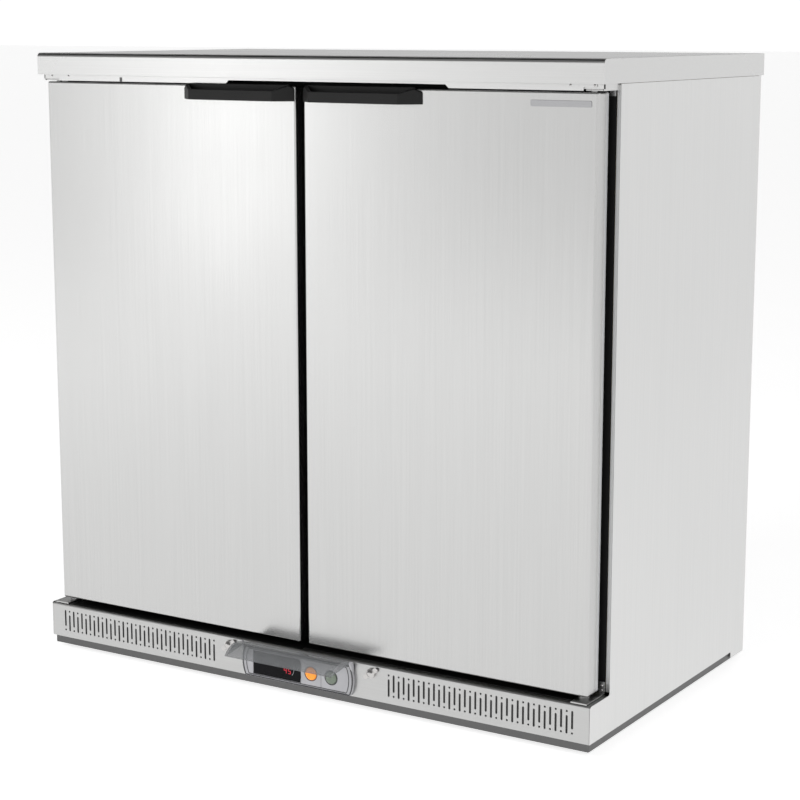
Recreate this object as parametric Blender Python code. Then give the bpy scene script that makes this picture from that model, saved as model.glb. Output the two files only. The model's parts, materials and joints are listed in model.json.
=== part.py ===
"""Two-door under-counter bottle cooler, built as separate pieces.

Dimensions are millimetres in the cooler's own axes: x = 0 on the centre line with +x to the right,
y = 0 on the front face of the worktop with +y to the back, z = 0 on the floor. Every object hangs from one
empty, which moves the whole so that the middle of its footprint is the world origin.
"""

import math

import bmesh
import bpy
from mathutils import Matrix, Vector

MM = 0.001
GAP = 0.3                    # clearance between pieces that touch

# Overall
HALF_WIDTH = 450.0
HEIGHT = 880.0
DEPTH = 503.5                # worktop, front to back
GROUND = 7.0                 # floor to the base tray
SHEET = 1.0

# Worktop
TOP_LIP = 30.5
TOP_SHEET = 1.2
TOP_EDGE_RADIUS = 4.5

# Body
SIDE_X = 449.5               # outer face of a side panel
BODY_FRONT = 49.0            # plane that the door gaskets meet
SIDE_BACK = 495.4
SIDE_BOTTOM = 18.5
TOE_FRONT = -6.3             # front face of the base
TOE_TOP = 69.0
TRAY_TOP = 24.0
FLANGE = 6.0

# Insulated cabinet
FOAM_X = 447.0
FOAM_FRONT = BODY_FRONT + 1.5
FOAM_BACK = 492.0
FOAM_BOTTOM, FOAM_TOP = 76.0, 878.0
CAVITY_X = 407.0
CAVITY_BACK = 452.0
CAVITY_BOTTOM, CAVITY_TOP = 112.0, 812.0
STEP_FRONT, STEP_TOP = 254.0, 298.0
FOAM_WALL = 36.0

# Doors
DOOR_OUTER, DOOR_INNER = 438.3, 6.6
DOOR_BOTTOM, DOOR_TOP = 75.5, 839.7
DOOR_FRONT, DOOR_RETURN, DOOR_BACK = 7.0, 30.0, 38.4
DOOR_EDGE_RADIUS = 2.5
GASKET_FRONT, GASKET_BACK = DOOR_BACK + GAP, BODY_FRONT - 0.6
GASKET_OUTER, GASKET_INNER = 429.0, 8.5
GASKET_LOW, GASKET_HIGH = 80.0, 835.0
GASKET_WIDTH = 16.0
PIVOT_X, PIVOT_Y = 427.0, 20.0
PIN_RADIUS, PIN_BORE = 4.0, 4.6

# Handles, measured from the centre line outwards
HANDLE_NEAR, HANDLE_FAR = 7.2, 190.0
HANDLE_LIP_NEAR, HANDLE_LIP_FAR = 29.0, 167.0
HANDLE_FRONT = -15.7
HANDLE_BOTTOM, HANDLE_LIP_TOP, HANDLE_BACK_TOP = 820.0, 833.5, 841.5
HANDLE_WALL = 3.0

# Shelves
SHELF_LEVELS = (340.0, 575.0)
SHELF_THICK = 6.0
SHELF_FRONT, SHELF_BACK = 79.0, 428.0
SHELF_INNER, SHELF_OUTER = 2.0, 401.0
SHELF_BAYS = 10

# Base grille and rear vents
GRILLE_COLUMNS = 36
GRILLE_SLOT = 2.8
GRILLE_NEAR, GRILLE_FAR = 147.0, 424.0
GRILLE_LOW, GRILLE_HIGH = 30.0, 58.0
VENT_COLUMNS, VENT_ROWS = 5, 6
VENT_LENGTH, VENT_HEIGHT = 105.0, 9.0

# Control unit
CONTROL_LOW, CONTROL_HIGH = 20.0, 63.0
CONTROL_FRONT = -11.5
CONTROL_X = 92.5
CUTOUT_X, CUTOUT_LOW, CUTOUT_HIGH = 84.5, 26.0, 57.0
DISPLAY_LEFT, DISPLAY_RIGHT = -74.5, 6.5
BUTTON_RADIUS, BUTTON_Z = 9.0, 40.5
LIGHT_BUTTON_X, POWER_BUTTON_X = 23.5, 57.0
FLAP_X = 88.5
FLAP_PIVOT_Y, FLAP_PIVOT_Z = -14.0, 67.0
FLAP_CHORD, FLAP_RISE, FLAP_SHEET = 46.0, 10.0, 2.0
FLAP_REST_DROP = math.radians(9.0)   # how far the flap hangs below level at rest
WING_SCREW_X, WING_SCREW_Z = 119.5, 57.0

# Refrigeration
BAY_FRONT, BAY_TOP = STEP_FRONT + FOAM_WALL, STEP_TOP - FOAM_WALL
EVAPORATOR_X, EVAPORATOR_FRONT = 230.0, 396.0
EVAPORATOR_LOW, EVAPORATOR_HIGH = 592.0, 800.0
EVAPORATOR_FAN_Z = 696.0
CONDENSER_FAN_Y, CONDENSER_FAN_Z = 400.0, 140.0
COMPRESSOR = (255.0, 398.0)
PORT = (338.0, 440.0)        # where the pipes pass through the step
PORT_RADIUS = 15.0

FLAP_TIP_Y = FLAP_PIVOT_Y - FLAP_CHORD * math.cos(FLAP_REST_DROP)
MID_Y = (DEPTH + FLAP_TIP_Y) / 2


# ---------------------------------------------------------------- materials

def finish(name, colour, roughness, metallic=0.0, alpha=1.0):
    """A Principled material."""
    material = bpy.data.materials.new(name)
    material.use_nodes = True
    shader = material.node_tree.nodes["Principled BSDF"]
    shader.inputs["Base Color"].default_value = (*colour, 1.0)
    shader.inputs["Roughness"].default_value = roughness
    shader.inputs["Metallic"].default_value = metallic
    shader.inputs["Alpha"].default_value = alpha
    return material


def make_finishes():
    """Every finish on the cooler, by name."""
    return {
        "stainless": finish("stainless", (0.66, 0.66, 0.65), 0.32, 1.0),
        "galvanised": finish("galvanised", (0.52, 0.53, 0.54), 0.45, 0.9),
        "black_plastic": finish("black_plastic", (0.02, 0.02, 0.02), 0.5),
        "gasket": finish("gasket", (0.015, 0.015, 0.015), 0.7),
        "foam": finish("foam", (0.72, 0.65, 0.45), 0.9),
        "liner": finish("liner", (0.75, 0.76, 0.77), 0.4, 0.6),
        "wire": finish("wire", (0.7, 0.7, 0.72), 0.25, 1.0),
        "copper": finish("copper", (0.72, 0.38, 0.22), 0.3, 1.0),
        "black_steel": finish("black_steel", (0.03, 0.03, 0.03), 0.4, 0.3),
        "aluminium": finish("aluminium", (0.75, 0.76, 0.78), 0.35, 1.0),
        "clear": finish("clear", (0.85, 0.88, 0.9), 0.1, 0.0, 0.35),
        "grey_plastic": finish("grey_plastic", (0.55, 0.56, 0.57), 0.4),
        "orange": finish("orange", (0.9, 0.35, 0.02), 0.35),
        "green_grey": finish("green_grey", (0.35, 0.4, 0.36), 0.35),
        "lamp": finish("lamp", (0.9, 0.9, 0.85), 0.3),
    }


# ---------------------------------------------------------------- shapes

class Builder:
    """Makes named objects under the cooler's empty."""

    def __init__(self):
        for old in list(bpy.data.objects):
            bpy.data.objects.remove(old, do_unlink=True)
        self.finishes = make_finishes()
        self.origin = bpy.data.objects.new("cooler_origin", None)
        self.origin.location = (0.0, -MID_Y * MM, 0.0)
        bpy.context.scene.collection.objects.link(self.origin)

    def place(self, name, mesh, finish_name, pivot):
        """An object whose mesh is in cooler millimetres, with its origin at the pivot."""
        mesh.transform(Matrix.Scale(MM, 4) @ Matrix.Translation(-Vector(pivot)))
        mesh.name = name
        piece = bpy.data.objects.new(name, mesh)
        bpy.context.scene.collection.objects.link(piece)
        piece.parent = self.origin
        piece.location = Vector(pivot) * MM
        piece.data.materials.append(self.finishes[finish_name])
        return piece

    def prism(self, name, finish_name, axis, outline, low, high, pivot=(0, 0, 0)):
        """An outline extruded along an axis, given on the other two axes in x, y, z order."""
        edit = bmesh.new()
        bottom = [edit.verts.new(on_axis(axis, low, u, v)) for u, v in outline]
        face = edit.faces.new(bottom)
        moved = bmesh.ops.extrude_face_region(edit, geom=[face])
        shift = Vector(on_axis(axis, high - low, 0, 0))
        verts = [item for item in moved["geom"] if isinstance(item, bmesh.types.BMVert)]
        bmesh.ops.translate(edit, vec=shift, verts=verts)
        bmesh.ops.recalc_face_normals(edit, faces=edit.faces)
        return self.place(name, to_mesh(edit), finish_name, pivot)

    def box(self, name, finish_name, x, y, z, pivot=(0, 0, 0)):
        """A block between pairs of coordinates."""
        outline = rectangle(*x, *y)
        return self.prism(name, finish_name, "Z", outline, *z, pivot)

    def rod(self, name, finish_name, axis, centre, radius, low, high, sides=20, pivot=(0, 0, 0)):
        """A cylinder along an axis."""
        return self.prism(name, finish_name, axis, circle(*centre, radius, sides), low, high, pivot)

    def turned(self, name, finish_name, centre, profile, sides=20, pivot=(0, 0, 0)):
        """A solid turned about a vertical axis through centre; the profile is (radius, z), bottom to top."""
        edit = bmesh.new()
        rings = []
        for radius, height in profile:
            ring = [edit.verts.new((x, y, height)) for x, y in circle(*centre, radius, sides)]
            rings.append(ring)
        for lower, upper in zip(rings, rings[1:]):
            for i in range(sides):
                j = (i + 1) % sides
                edit.faces.new((lower[i], lower[j], upper[j], upper[i]))
        edit.faces.new(list(reversed(rings[0])))
        edit.faces.new(rings[-1])
        bmesh.ops.recalc_face_normals(edit, faces=edit.faces)
        return self.place(name, to_mesh(edit), finish_name, pivot)

    def ring(self, name, finish_name, axis, outer, inner, low, high, pivot=(0, 0, 0)):
        """A flat ring between two outlines of the same number of points."""
        edit = bmesh.new()
        loops = []
        for level in (low, high):
            for outline in (outer, inner):
                loops.append([edit.verts.new(on_axis(axis, level, u, v)) for u, v in outline])
        outer_low, inner_low, outer_high, inner_high = loops
        count = len(outer)
        for i in range(count):
            j = (i + 1) % count
            edit.faces.new((outer_low[i], outer_low[j], outer_high[j], outer_high[i]))
            edit.faces.new((inner_low[j], inner_low[i], inner_high[i], inner_high[j]))
            edit.faces.new((outer_low[j], outer_low[i], inner_low[i], inner_low[j]))
            edit.faces.new((outer_high[i], outer_high[j], inner_high[j], inner_high[i]))
        bmesh.ops.recalc_face_normals(edit, faces=edit.faces)
        return self.place(name, to_mesh(edit), finish_name, pivot)

    def lattice(self, name, finish_name, axis, columns, rows, low, high, is_solid, pivot=(0, 0, 0)):
        """A plate of cells between grid lines, with a hole wherever is_solid(column, row) says no."""
        edit = bmesh.new()
        levels = []
        for level in (low, high):
            levels.append([[edit.verts.new(on_axis(axis, level, u, v)) for v in rows] for u in columns])

        def solid(i, j):
            inside = 0 <= i < len(columns) - 1 and 0 <= j < len(rows) - 1
            return inside and is_solid(i, j)

        def wall(a, b):
            (i, j), (k, m) = a, b
            edit.faces.new((levels[0][i][j], levels[0][k][m], levels[1][k][m], levels[1][i][j]))

        for i in range(len(columns) - 1):
            for j in range(len(rows) - 1):
                if not solid(i, j):
                    continue
                for level in levels:
                    edit.faces.new((level[i][j], level[i + 1][j], level[i + 1][j + 1], level[i][j + 1]))
                if not solid(i - 1, j):
                    wall((i, j), (i, j + 1))
                if not solid(i + 1, j):
                    wall((i + 1, j), (i + 1, j + 1))
                if not solid(i, j - 1):
                    wall((i, j), (i + 1, j))
                if not solid(i, j + 1):
                    wall((i, j + 1), (i + 1, j + 1))
        loose = [vert for vert in edit.verts if not vert.link_faces]
        bmesh.ops.delete(edit, geom=loose, context="VERTS")
        bmesh.ops.dissolve_limit(edit, angle_limit=0.001, verts=edit.verts, edges=edit.edges)
        bmesh.ops.recalc_face_normals(edit, faces=edit.faces)
        return self.place(name, to_mesh(edit), finish_name, pivot)

    def pipe(self, name, finish_name, points, radius):
        """A tube along a smooth curve through points."""
        curve = bpy.data.curves.new(name, "CURVE")
        curve.dimensions = "3D"
        curve.bevel_depth = radius * MM
        curve.bevel_resolution = 2
        curve.use_fill_caps = True
        path = smooth_path(points)
        spline = curve.splines.new("POLY")
        spline.points.add(len(path) - 1)
        for point, place in zip(spline.points, path):
            point.co = (*(place * MM), 1.0)
        piece = bpy.data.objects.new(name, curve)
        bpy.context.scene.collection.objects.link(piece)
        piece.parent = self.origin
        curve.materials.append(self.finishes[finish_name])
        return piece

    def combine(self, target, tools, operation):
        """Adds exact booleans to target; the tools become hidden guides."""
        for tool in tools:
            tool.hide_render = True
            tool.display_type = "WIRE"
            change = target.modifiers.new(tool.name, "BOOLEAN")
            change.operation = operation
            change.solver = "EXACT"
            change.object = tool
        return target

    def cut(self, target, *tools):
        return self.combine(target, tools, "DIFFERENCE")

    def join(self, target, *tools):
        return self.combine(target, tools, "UNION")


def on_axis(axis, level, u, v):
    """The point at a level on an axis, with u and v on the other two in x, y, z order."""
    if axis == "X":
        return (level, u, v)
    if axis == "Y":
        return (u, level, v)
    return (u, v, level)


def to_mesh(edit):
    mesh = bpy.data.meshes.new("mesh")
    edit.to_mesh(mesh)
    edit.free()
    mesh.shade_smooth()
    mesh.set_sharp_from_angle(angle=math.radians(35))
    return mesh


def rectangle(u0, u1, v0, v1):
    return [(u0, v0), (u1, v0), (u1, v1), (u0, v1)]


def circle(u, v, radius, sides=20):
    step = 2 * math.pi / sides
    return [(u + radius * math.cos(i * step), v + radius * math.sin(i * step)) for i in range(sides)]


def arc(u, v, radius, start, end, steps):
    """Points on an arc, with the angles in degrees."""
    points = []
    for i in range(steps + 1):
        angle = math.radians(start + (end - start) * i / steps)
        points.append((u + radius * math.cos(angle), v + radius * math.sin(angle)))
    return points


def mirrored(outline, side):
    """An outline flipped to the left where side is -1, with its order kept."""
    if side > 0:
        return outline
    return [(-u, v) for u, v in reversed(outline)]


def across(side, near, far):
    """A span measured outwards from the centre line, low end first."""
    return (near, far) if side > 0 else (-far, -near)


def smooth_path(points, steps=3):
    """Catmull-Rom points through a route."""
    route = [Vector(point) for point in points]
    route = [2 * route[0] - route[1], *route, 2 * route[-1] - route[-2]]
    path = []
    for a, b, c, d in zip(route, route[1:], route[2:], route[3:]):
        for i in range(steps):
            t = i / steps
            path.append(0.5 * (2 * b + (c - a) * t + (2 * a - 5 * b + 4 * c - d) * t ** 2
                               + (3 * b - a - 3 * c + d) * t ** 3))
    path.append(route[-2])
    return path


SIDES = (("left", -1), ("right", 1))


# ---------------------------------------------------------------- body

def make_worktop(build):
    """Folded sheet: a flat top with a lip on all four sides."""
    low = HEIGHT - TOP_LIP
    profile = [(DEPTH, low), (DEPTH, HEIGHT)]
    profile += arc(TOP_EDGE_RADIUS, HEIGHT - TOP_EDGE_RADIUS, TOP_EDGE_RADIUS, 90, 180, 4)
    profile += [(0.0, low)]
    top = build.prism("worktop", "stainless", "X", profile, -HALF_WIDTH, HALF_WIDTH)
    inside = HALF_WIDTH - TOP_SHEET
    hollow = build.box("worktop_hollow", "stainless", (-inside, inside),
                       (TOP_SHEET, DEPTH - TOP_SHEET), (low - 5, HEIGHT - TOP_SHEET))
    build.cut(top, hollow)


def make_side_panel(build, name, side):
    """Flat sheet with a toe at the foot, a narrow front fold, a rear fold and a corner tab at the foot."""
    top = HEIGHT - TOP_LIP - GAP
    outline = [
        (TOE_FRONT, SIDE_BOTTOM), (SIDE_BACK - 46, SIDE_BOTTOM), (SIDE_BACK - 45, GROUND + 2),
        (SIDE_BACK, GROUND + 2), (SIDE_BACK, top), (BODY_FRONT, top), (BODY_FRONT, TOE_TOP),
        (TOE_FRONT, TOE_TOP),
    ]
    panel = build.prism(name, "stainless", "X", outline, *across(side, SIDE_X - SHEET, SIDE_X))
    front = build.box(name + "_front_fold", "stainless", across(side, SIDE_X - FLANGE, SIDE_X - 0.5),
                      (BODY_FRONT + 0.1, BODY_FRONT + 1.1), (TOE_TOP + 3, top - 1))
    rear = build.box(name + "_rear_fold", "stainless", across(side, SIDE_X - 9, SIDE_X - 0.5),
                     (SIDE_BACK - 1.1, SIDE_BACK - 0.1), (SIDE_BOTTOM + 6, top - 1))
    build.join(panel, front, rear)


def make_rear_panel(build):
    """Sheet with rows of vent slots over the compressor bay and a hole for the power inlet."""
    columns = [-FOAM_X, *slot_lines(-327.5, 192.5, VENT_COLUMNS, VENT_LENGTH), FOAM_X]
    rows = [20.0, *slot_lines(74.5, 204.5, VENT_ROWS, VENT_HEIGHT), 847.0]
    build.lattice("rear_panel", "galvanised", "Y", columns, rows, FOAM_BACK + 0.4, FOAM_BACK + 1.4,
                  lambda i, j: not (i % 2 and j % 2))


def cavity_outline(inset, mouth):
    """The cabinet's inside seen from the side, drawn in by inset, with its mouth at a given y."""
    return [
        (mouth, CAVITY_BOTTOM + inset), (STEP_FRONT - inset, CAVITY_BOTTOM + inset),
        (STEP_FRONT - inset, STEP_TOP + inset), (CAVITY_BACK - inset, STEP_TOP + inset),
        (CAVITY_BACK - inset, CAVITY_TOP - inset), (mouth, CAVITY_TOP - inset),
    ]


def pipe_port(build, name):
    """The hole for the pipes, through the step."""
    return build.rod(name, "foam", "Z", PORT, PORT_RADIUS, BAY_TOP - 20, STEP_TOP + 20)


def make_cabinet(build):
    """The insulation with its notch for the compressor bay, and the liner inside it."""
    outline = [
        (FOAM_FRONT, FOAM_BOTTOM), (BAY_FRONT, FOAM_BOTTOM), (BAY_FRONT, BAY_TOP), (FOAM_BACK, BAY_TOP),
        (FOAM_BACK, FOAM_TOP), (FOAM_FRONT, FOAM_TOP),
    ]
    foam = build.prism("insulation", "foam", "X", outline, -FOAM_X, FOAM_X)
    hollow = build.prism("insulation_hollow", "foam", "X", cavity_outline(0.0, FOAM_FRONT - 5),
                         -CAVITY_X, CAVITY_X)
    build.cut(foam, hollow, pipe_port(build, "insulation_port"))
    liner = build.prism("inner_liner", "liner", "X", cavity_outline(GAP, FOAM_FRONT),
                        -CAVITY_X + GAP, CAVITY_X - GAP)
    inset = GAP + SHEET
    inside = build.prism("liner_hollow", "liner", "X", cavity_outline(inset, FOAM_FRONT - 5),
                         -CAVITY_X + inset, CAVITY_X - inset)
    build.cut(liner, inside, pipe_port(build, "liner_port"))


def make_front_frame(build):
    """Black frame round the mouth, the post between the doors, and the steel fascia above them."""
    build.ring("breaker_frame", "black_plastic", "Y", rectangle(-443.0, 443.0, FOAM_BOTTOM, 839.0),
               rectangle(-405.4, 405.4, 113.6, 810.4), BODY_FRONT, BODY_FRONT + 1.2)
    build.box("centre_mullion", "black_plastic", (-28, 28), (BODY_FRONT, 74), (114, 810))
    low, notch = DOOR_TOP + 1.3, DOOR_TOP + 5.9
    outline = [
        (-436, notch), (-418, notch), (-418, low), (-122, low), (-117, notch), (223, notch), (228, low),
        (418, low), (418, notch), (436, notch), (436, 877.5), (-436, 877.5),
    ]
    fascia = build.prism("top_fascia", "stainless", "Y", outline, 8.5, 9.7)
    shelf = build.box("fascia_fold", "stainless", (-430, 430), (9.0, BODY_FRONT + 1.0), (875.5, 876.7))
    build.join(fascia, shelf)


def make_base(build):
    """Base tray with its upturned rim and corner flanges, and the pierced front panel."""
    front, back, half = TOE_FRONT + 3, 491.5, SIDE_X - 3
    tray = build.box("base_tray", "galvanised", (-half, half), (front, back), (GROUND, TRAY_TOP))
    hollow = build.box("tray_hollow", "galvanised", (-half + 1.2, half - 1.2), (front + 1.2, back - 1.2),
                       (GROUND + 1.2, 40))
    studs = [build.rod(f"stud_hole_{i}", "galvanised", "Z", centre, 5.6, 0, 20)
             for i, centre in enumerate(foot_centres())]
    build.cut(tray, hollow, *studs)

    half = SIDE_X - SHEET - GAP
    columns = [-half]
    columns += slot_lines(-GRILLE_FAR, -GRILLE_NEAR, GRILLE_COLUMNS, GRILLE_SLOT)
    columns += [-CUTOUT_X, CUTOUT_X]
    columns += slot_lines(GRILLE_NEAR, GRILLE_FAR, GRILLE_COLUMNS, GRILLE_SLOT)
    columns += [half]
    rows = [SIDE_BOTTOM, CUTOUT_LOW, GRILLE_LOW, CUTOUT_HIGH, GRILLE_HIGH, TOE_TOP - 0.6]
    control_column = 2 * GRILLE_COLUMNS + 1

    def is_solid(i, j):
        if i == control_column:
            return j in (0, 4)
        return not (i % 2 and j in (2, 3))

    panel = build.lattice("base_front_panel", "stainless", "Y", columns, rows, TOE_FRONT, TOE_FRONT + 1,
                          is_solid)
    fold = build.box("base_panel_fold", "stainless", (-half + 1, half - 1), (TOE_FRONT + 0.4, 46.0),
                     (TOE_TOP - 1.4, TOE_TOP - 0.2))
    bores = [build.rod(f"wing_screw_bore_{side_name}", "stainless", "Y",
                       (side * WING_SCREW_X, WING_SCREW_Z), 3.0, TOE_FRONT - 3, TOE_FRONT + 5, 12)
             for side_name, side in SIDES]
    build.join(panel, fold)
    build.cut(panel, *bores)


def slot_lines(low, high, count, width):
    """The two edges of each slot in an even row, with the end slots centred on low and high."""
    pitch = (high - low) / (count - 1)
    lines = []
    for i in range(count):
        lines += [low + i * pitch - width / 2, low + i * pitch + width / 2]
    return lines


def foot_centres():
    return [(x, y) for x in (-400, 400) for y in (48, 448)]


def make_feet(build):
    """Screw-in levelling feet: a disc with a hexagon above it and a threaded stud up through the tray."""
    names = ("foot_front_left", "foot_rear_left", "foot_front_right", "foot_rear_right")
    for name, centre in zip(names, foot_centres()):
        profile = [(17, 0), (19, 1.2), (19, 3.4), (9, 4.2), (9, GROUND - GAP), (5, GROUND - GAP),
                   (5, 25), (4, 26)]
        build.turned(name, "black_steel", centre, profile, 20, (*centre, 0))


# ---------------------------------------------------------------- doors

def make_hinges(build, side_name, side):
    """Angle plates on the body front: one carries a pin down into the door, one a pin up into it."""
    top, bottom = DOOR_TOP + 1.4, TOE_TOP + 0.3
    plates = (
        ("top", 11.0, (top, top + 2), (top - 7.1, top + 2), (top - 10.4, top + 1)),
        ("bottom", -4.0, (bottom, bottom + 2), (bottom, bottom + 17), (bottom + 1, DOOR_BOTTOM + 9)),
    )
    centre = (side * PIVOT_X, PIVOT_Y)
    for level, front, flat_z, upright_z, pin_z in plates:
        name = f"{level}_hinge_{side_name}"
        plate = build.box(name, "stainless", across(side, 420.0, 443.0), (front, 48.6), flat_z)
        upright = build.box(name + "_leg", "stainless", across(side, 435.0, 442.6), (46.6, 48.4), upright_z)
        pin = build.rod(name + "_pin", "stainless", "Z", centre, PIN_RADIUS, *pin_z, 16)
        build.join(plate, upright, pin)
        if level == "bottom":
            washer = build.rod(name + "_washer", "stainless", "Z", centre, 7.0, TOE_TOP + 1.5,
                               DOOR_BOTTOM - GAP, 16)
            build.join(plate, washer)


def door_outline(side, inset, front, back, radius):
    """A door in plan, with rounded front corners."""
    inner, outer = DOOR_INNER + inset, DOOR_OUTER - inset
    points = [(outer, back), (inner, back)]
    points += arc(inner + radius, front + radius, radius, 180, 270, 3)
    points += arc(outer - radius, front + radius, radius, 270, 360, 3)
    return mirrored(points, side)


def pivot_hole(build, name, side, low, high, radius, pivot):
    return build.rod(name, "stainless", "Z", (side * PIVOT_X, PIVOT_Y), radius, low, high, 16, pivot)


def make_door(build, side_name, side):
    """Outer skin, foamed inner panel, gasket and handle, all turning about the hinge pins."""
    pivot = (side * PIVOT_X, PIVOT_Y, 0)
    name = f"{side_name}_door"

    skin = build.prism(name + "_skin", "stainless", "Z",
                       door_outline(side, 0.0, DOOR_FRONT, DOOR_RETURN, DOOR_EDGE_RADIUS),
                       DOOR_BOTTOM, DOOR_TOP, pivot)
    hollow = build.prism(name + "_skin_hollow", "stainless", "Z",
                         door_outline(side, SHEET, DOOR_FRONT + SHEET, DOOR_RETURN + 5, 1.5),
                         DOOR_BOTTOM + SHEET, DOOR_TOP - SHEET, pivot)
    bore = pivot_hole(build, name + "_skin_bore", side, DOOR_BOTTOM - 5, DOOR_TOP + 5, PIN_BORE, pivot)
    build.cut(skin, hollow, bore)

    inset = SHEET + GAP
    core = build.prism(name + "_inner_panel", "liner", "Z",
                       door_outline(side, inset, DOOR_FRONT + inset, DOOR_RETURN + 4, 1.5),
                       DOOR_BOTTOM + inset, DOOR_TOP - inset, pivot)
    back = build.box(name + "_inner_back", "liner", across(side, DOOR_INNER + 0.4, DOOR_OUTER - 0.4),
                     (DOOR_RETURN + GAP, DOOR_BACK), (DOOR_BOTTOM + 0.4, DOOR_TOP - 0.4), pivot)
    low_bore = pivot_hole(build, name + "_low_bore", side, DOOR_BOTTOM - 5, DOOR_BOTTOM + 12,
                          PIN_BORE + 0.6, pivot)
    high_bore = pivot_hole(build, name + "_high_bore", side, DOOR_TOP - 12, DOOR_TOP + 5,
                           PIN_BORE + 0.6, pivot)
    build.join(core, back)
    build.cut(core, low_bore, high_bore)

    low, high = across(side, GASKET_INNER, GASKET_OUTER)
    build.ring(name + "_gasket", "gasket", "Y", rectangle(low, high, GASKET_LOW, GASKET_HIGH),
               rectangle(low + GASKET_WIDTH, high - GASKET_WIDTH, GASKET_LOW + GASKET_WIDTH,
                         GASKET_HIGH - GASKET_WIDTH),
               GASKET_FRONT, GASKET_BACK, pivot)
    make_handle(build, name + "_handle", side, pivot)


def make_handle(build, name, side, pivot):
    """Moulded finger pull: a lip with slanting ends and an open pocket behind it."""
    back = DOOR_FRONT - GAP
    outline = [(HANDLE_FAR, back), (HANDLE_NEAR, back), (HANDLE_NEAR, back - 1.5),
               (HANDLE_LIP_NEAR, HANDLE_FRONT), (HANDLE_LIP_FAR, HANDLE_FRONT), (HANDLE_FAR, back - 1.5)]
    body = build.prism(name, "black_plastic", "Z", mirrored(outline, side), HANDLE_BOTTOM,
                       HANDLE_BACK_TOP, pivot)
    wall = HANDLE_WALL
    pocket = [(HANDLE_FAR - 3 * wall, back - wall), (HANDLE_NEAR + 3 * wall, back - wall),
              (HANDLE_LIP_NEAR + wall, HANDLE_FRONT + wall), (HANDLE_LIP_FAR - wall, HANDLE_FRONT + wall)]
    hollow = build.prism(name + "_pocket", "black_plastic", "Z", mirrored(pocket, side),
                         HANDLE_BOTTOM + wall, HANDLE_BACK_TOP + 5, pivot)
    slope = [(HANDLE_FRONT - 5, HANDLE_LIP_TOP), (HANDLE_FRONT + 1.5, HANDLE_LIP_TOP),
             (back - 2, HANDLE_BACK_TOP), (back - 2, HANDLE_BACK_TOP + 8),
             (HANDLE_FRONT - 5, HANDLE_BACK_TOP + 8)]
    wedge = build.prism(name + "_slope", "black_plastic", "X", slope, *across(side, 0, HANDLE_FAR + 10),
                        pivot)
    build.cut(body, hollow, wedge)


# ---------------------------------------------------------------- interior

def tabbed_strip(near, tip, low=120.0, high=800.0):
    """A shelf pilaster's outline: a strip at near with a clip out to tip under each shelf."""
    face = near + math.copysign(3.0, tip - near)
    points = [(near, low), (face, low)]
    for level in SHELF_LEVELS:
        if low < level < high:
            under = level - GAP
            points += [(face, under - 9), (tip, under - 2), (tip, under), (face, under)]
    points += [(face, high), (near, high)]
    return points


def make_interior(build):
    """Pilasters on the walls, wire shelves on their clips, and the light under the top."""
    wall = CAVITY_X - GAP - SHEET - GAP
    for side_name, side in SIDES:
        for place, front, foot in (("front", 100.0, 120.0), ("rear", 398.0, STEP_TOP + 4)):
            outline = [(side * u, v) for u, v in tabbed_strip(wall, wall - 14, foot)]
            build.prism(f"pilaster_{side_name}_{place}", "galvanised", "Y", outline, front, front + 18)
    build.prism("pilaster_centre_front", "galvanised", "X", tabbed_strip(74.3, 90.0), -9, 9)
    rear = CAVITY_BACK - GAP - SHEET - GAP
    build.prism("pilaster_centre_rear", "galvanised", "X",
                tabbed_strip(rear, rear - 30, STEP_TOP + 4, EVAPORATOR_LOW - 4), -9, 9)

    bar = 3.5
    for side_name, side in SIDES:
        low, high = across(side, SHELF_INNER, SHELF_OUTER)
        pitch = (high - low - bar) / SHELF_BAYS
        columns = []
        for i in range(SHELF_BAYS + 1):
            columns += [low + i * pitch, low + i * pitch + bar]
        middle = (SHELF_FRONT + SHELF_BACK) / 2
        rows = [SHELF_FRONT, SHELF_FRONT + 5, middle - 2, middle + 2, SHELF_BACK - 5, SHELF_BACK]
        for place, level in zip(("lower", "upper"), SHELF_LEVELS):
            build.lattice(f"shelf_{side_name}_{place}", "wire", "Z", columns, rows, level,
                          level + SHELF_THICK, lambda i, j: not (i % 2 and j % 2))
    build.box("interior_light", "lamp", (-180, 180), (80, 98), (800, CAVITY_TOP - 1.6))


def make_fan(build, name, axis, centre, radius, hub, span, pivot):
    """A hub with five flat blades set at an angle, along the y or x axis."""
    low, high = span
    fan = build.rod(name, "black_plastic", axis, centre, hub, low, high, 20, pivot)
    middle = (low + high) / 2
    for i in range(5):
        edit = bmesh.new()
        bmesh.ops.create_cube(edit, size=1.0)
        reach = radius - hub + 4
        pitch = Matrix.Rotation(math.radians(28), 4, "Z")
        blade = pitch @ Matrix.Diagonal((1.6, hub * 1.3, reach, 1.0))
        edit.transform(Matrix.Translation((0, 0, hub - 4 + reach / 2)) @ blade)
        turn = Matrix.Rotation(2 * math.pi * i / 5, 4, "X")
        aim = Matrix.Rotation(math.pi / 2, 4, "Z") if axis == "Y" else Matrix.Identity(4)
        edit.transform(Matrix.Translation(on_axis(axis, middle, *centre)) @ aim @ turn)
        bmesh.ops.recalc_face_normals(edit, faces=edit.faces)
        blade_object = build.place(f"{name}_blade_{i}", to_mesh(edit), "black_plastic", pivot)
        build.join(fan, blade_object)


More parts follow.
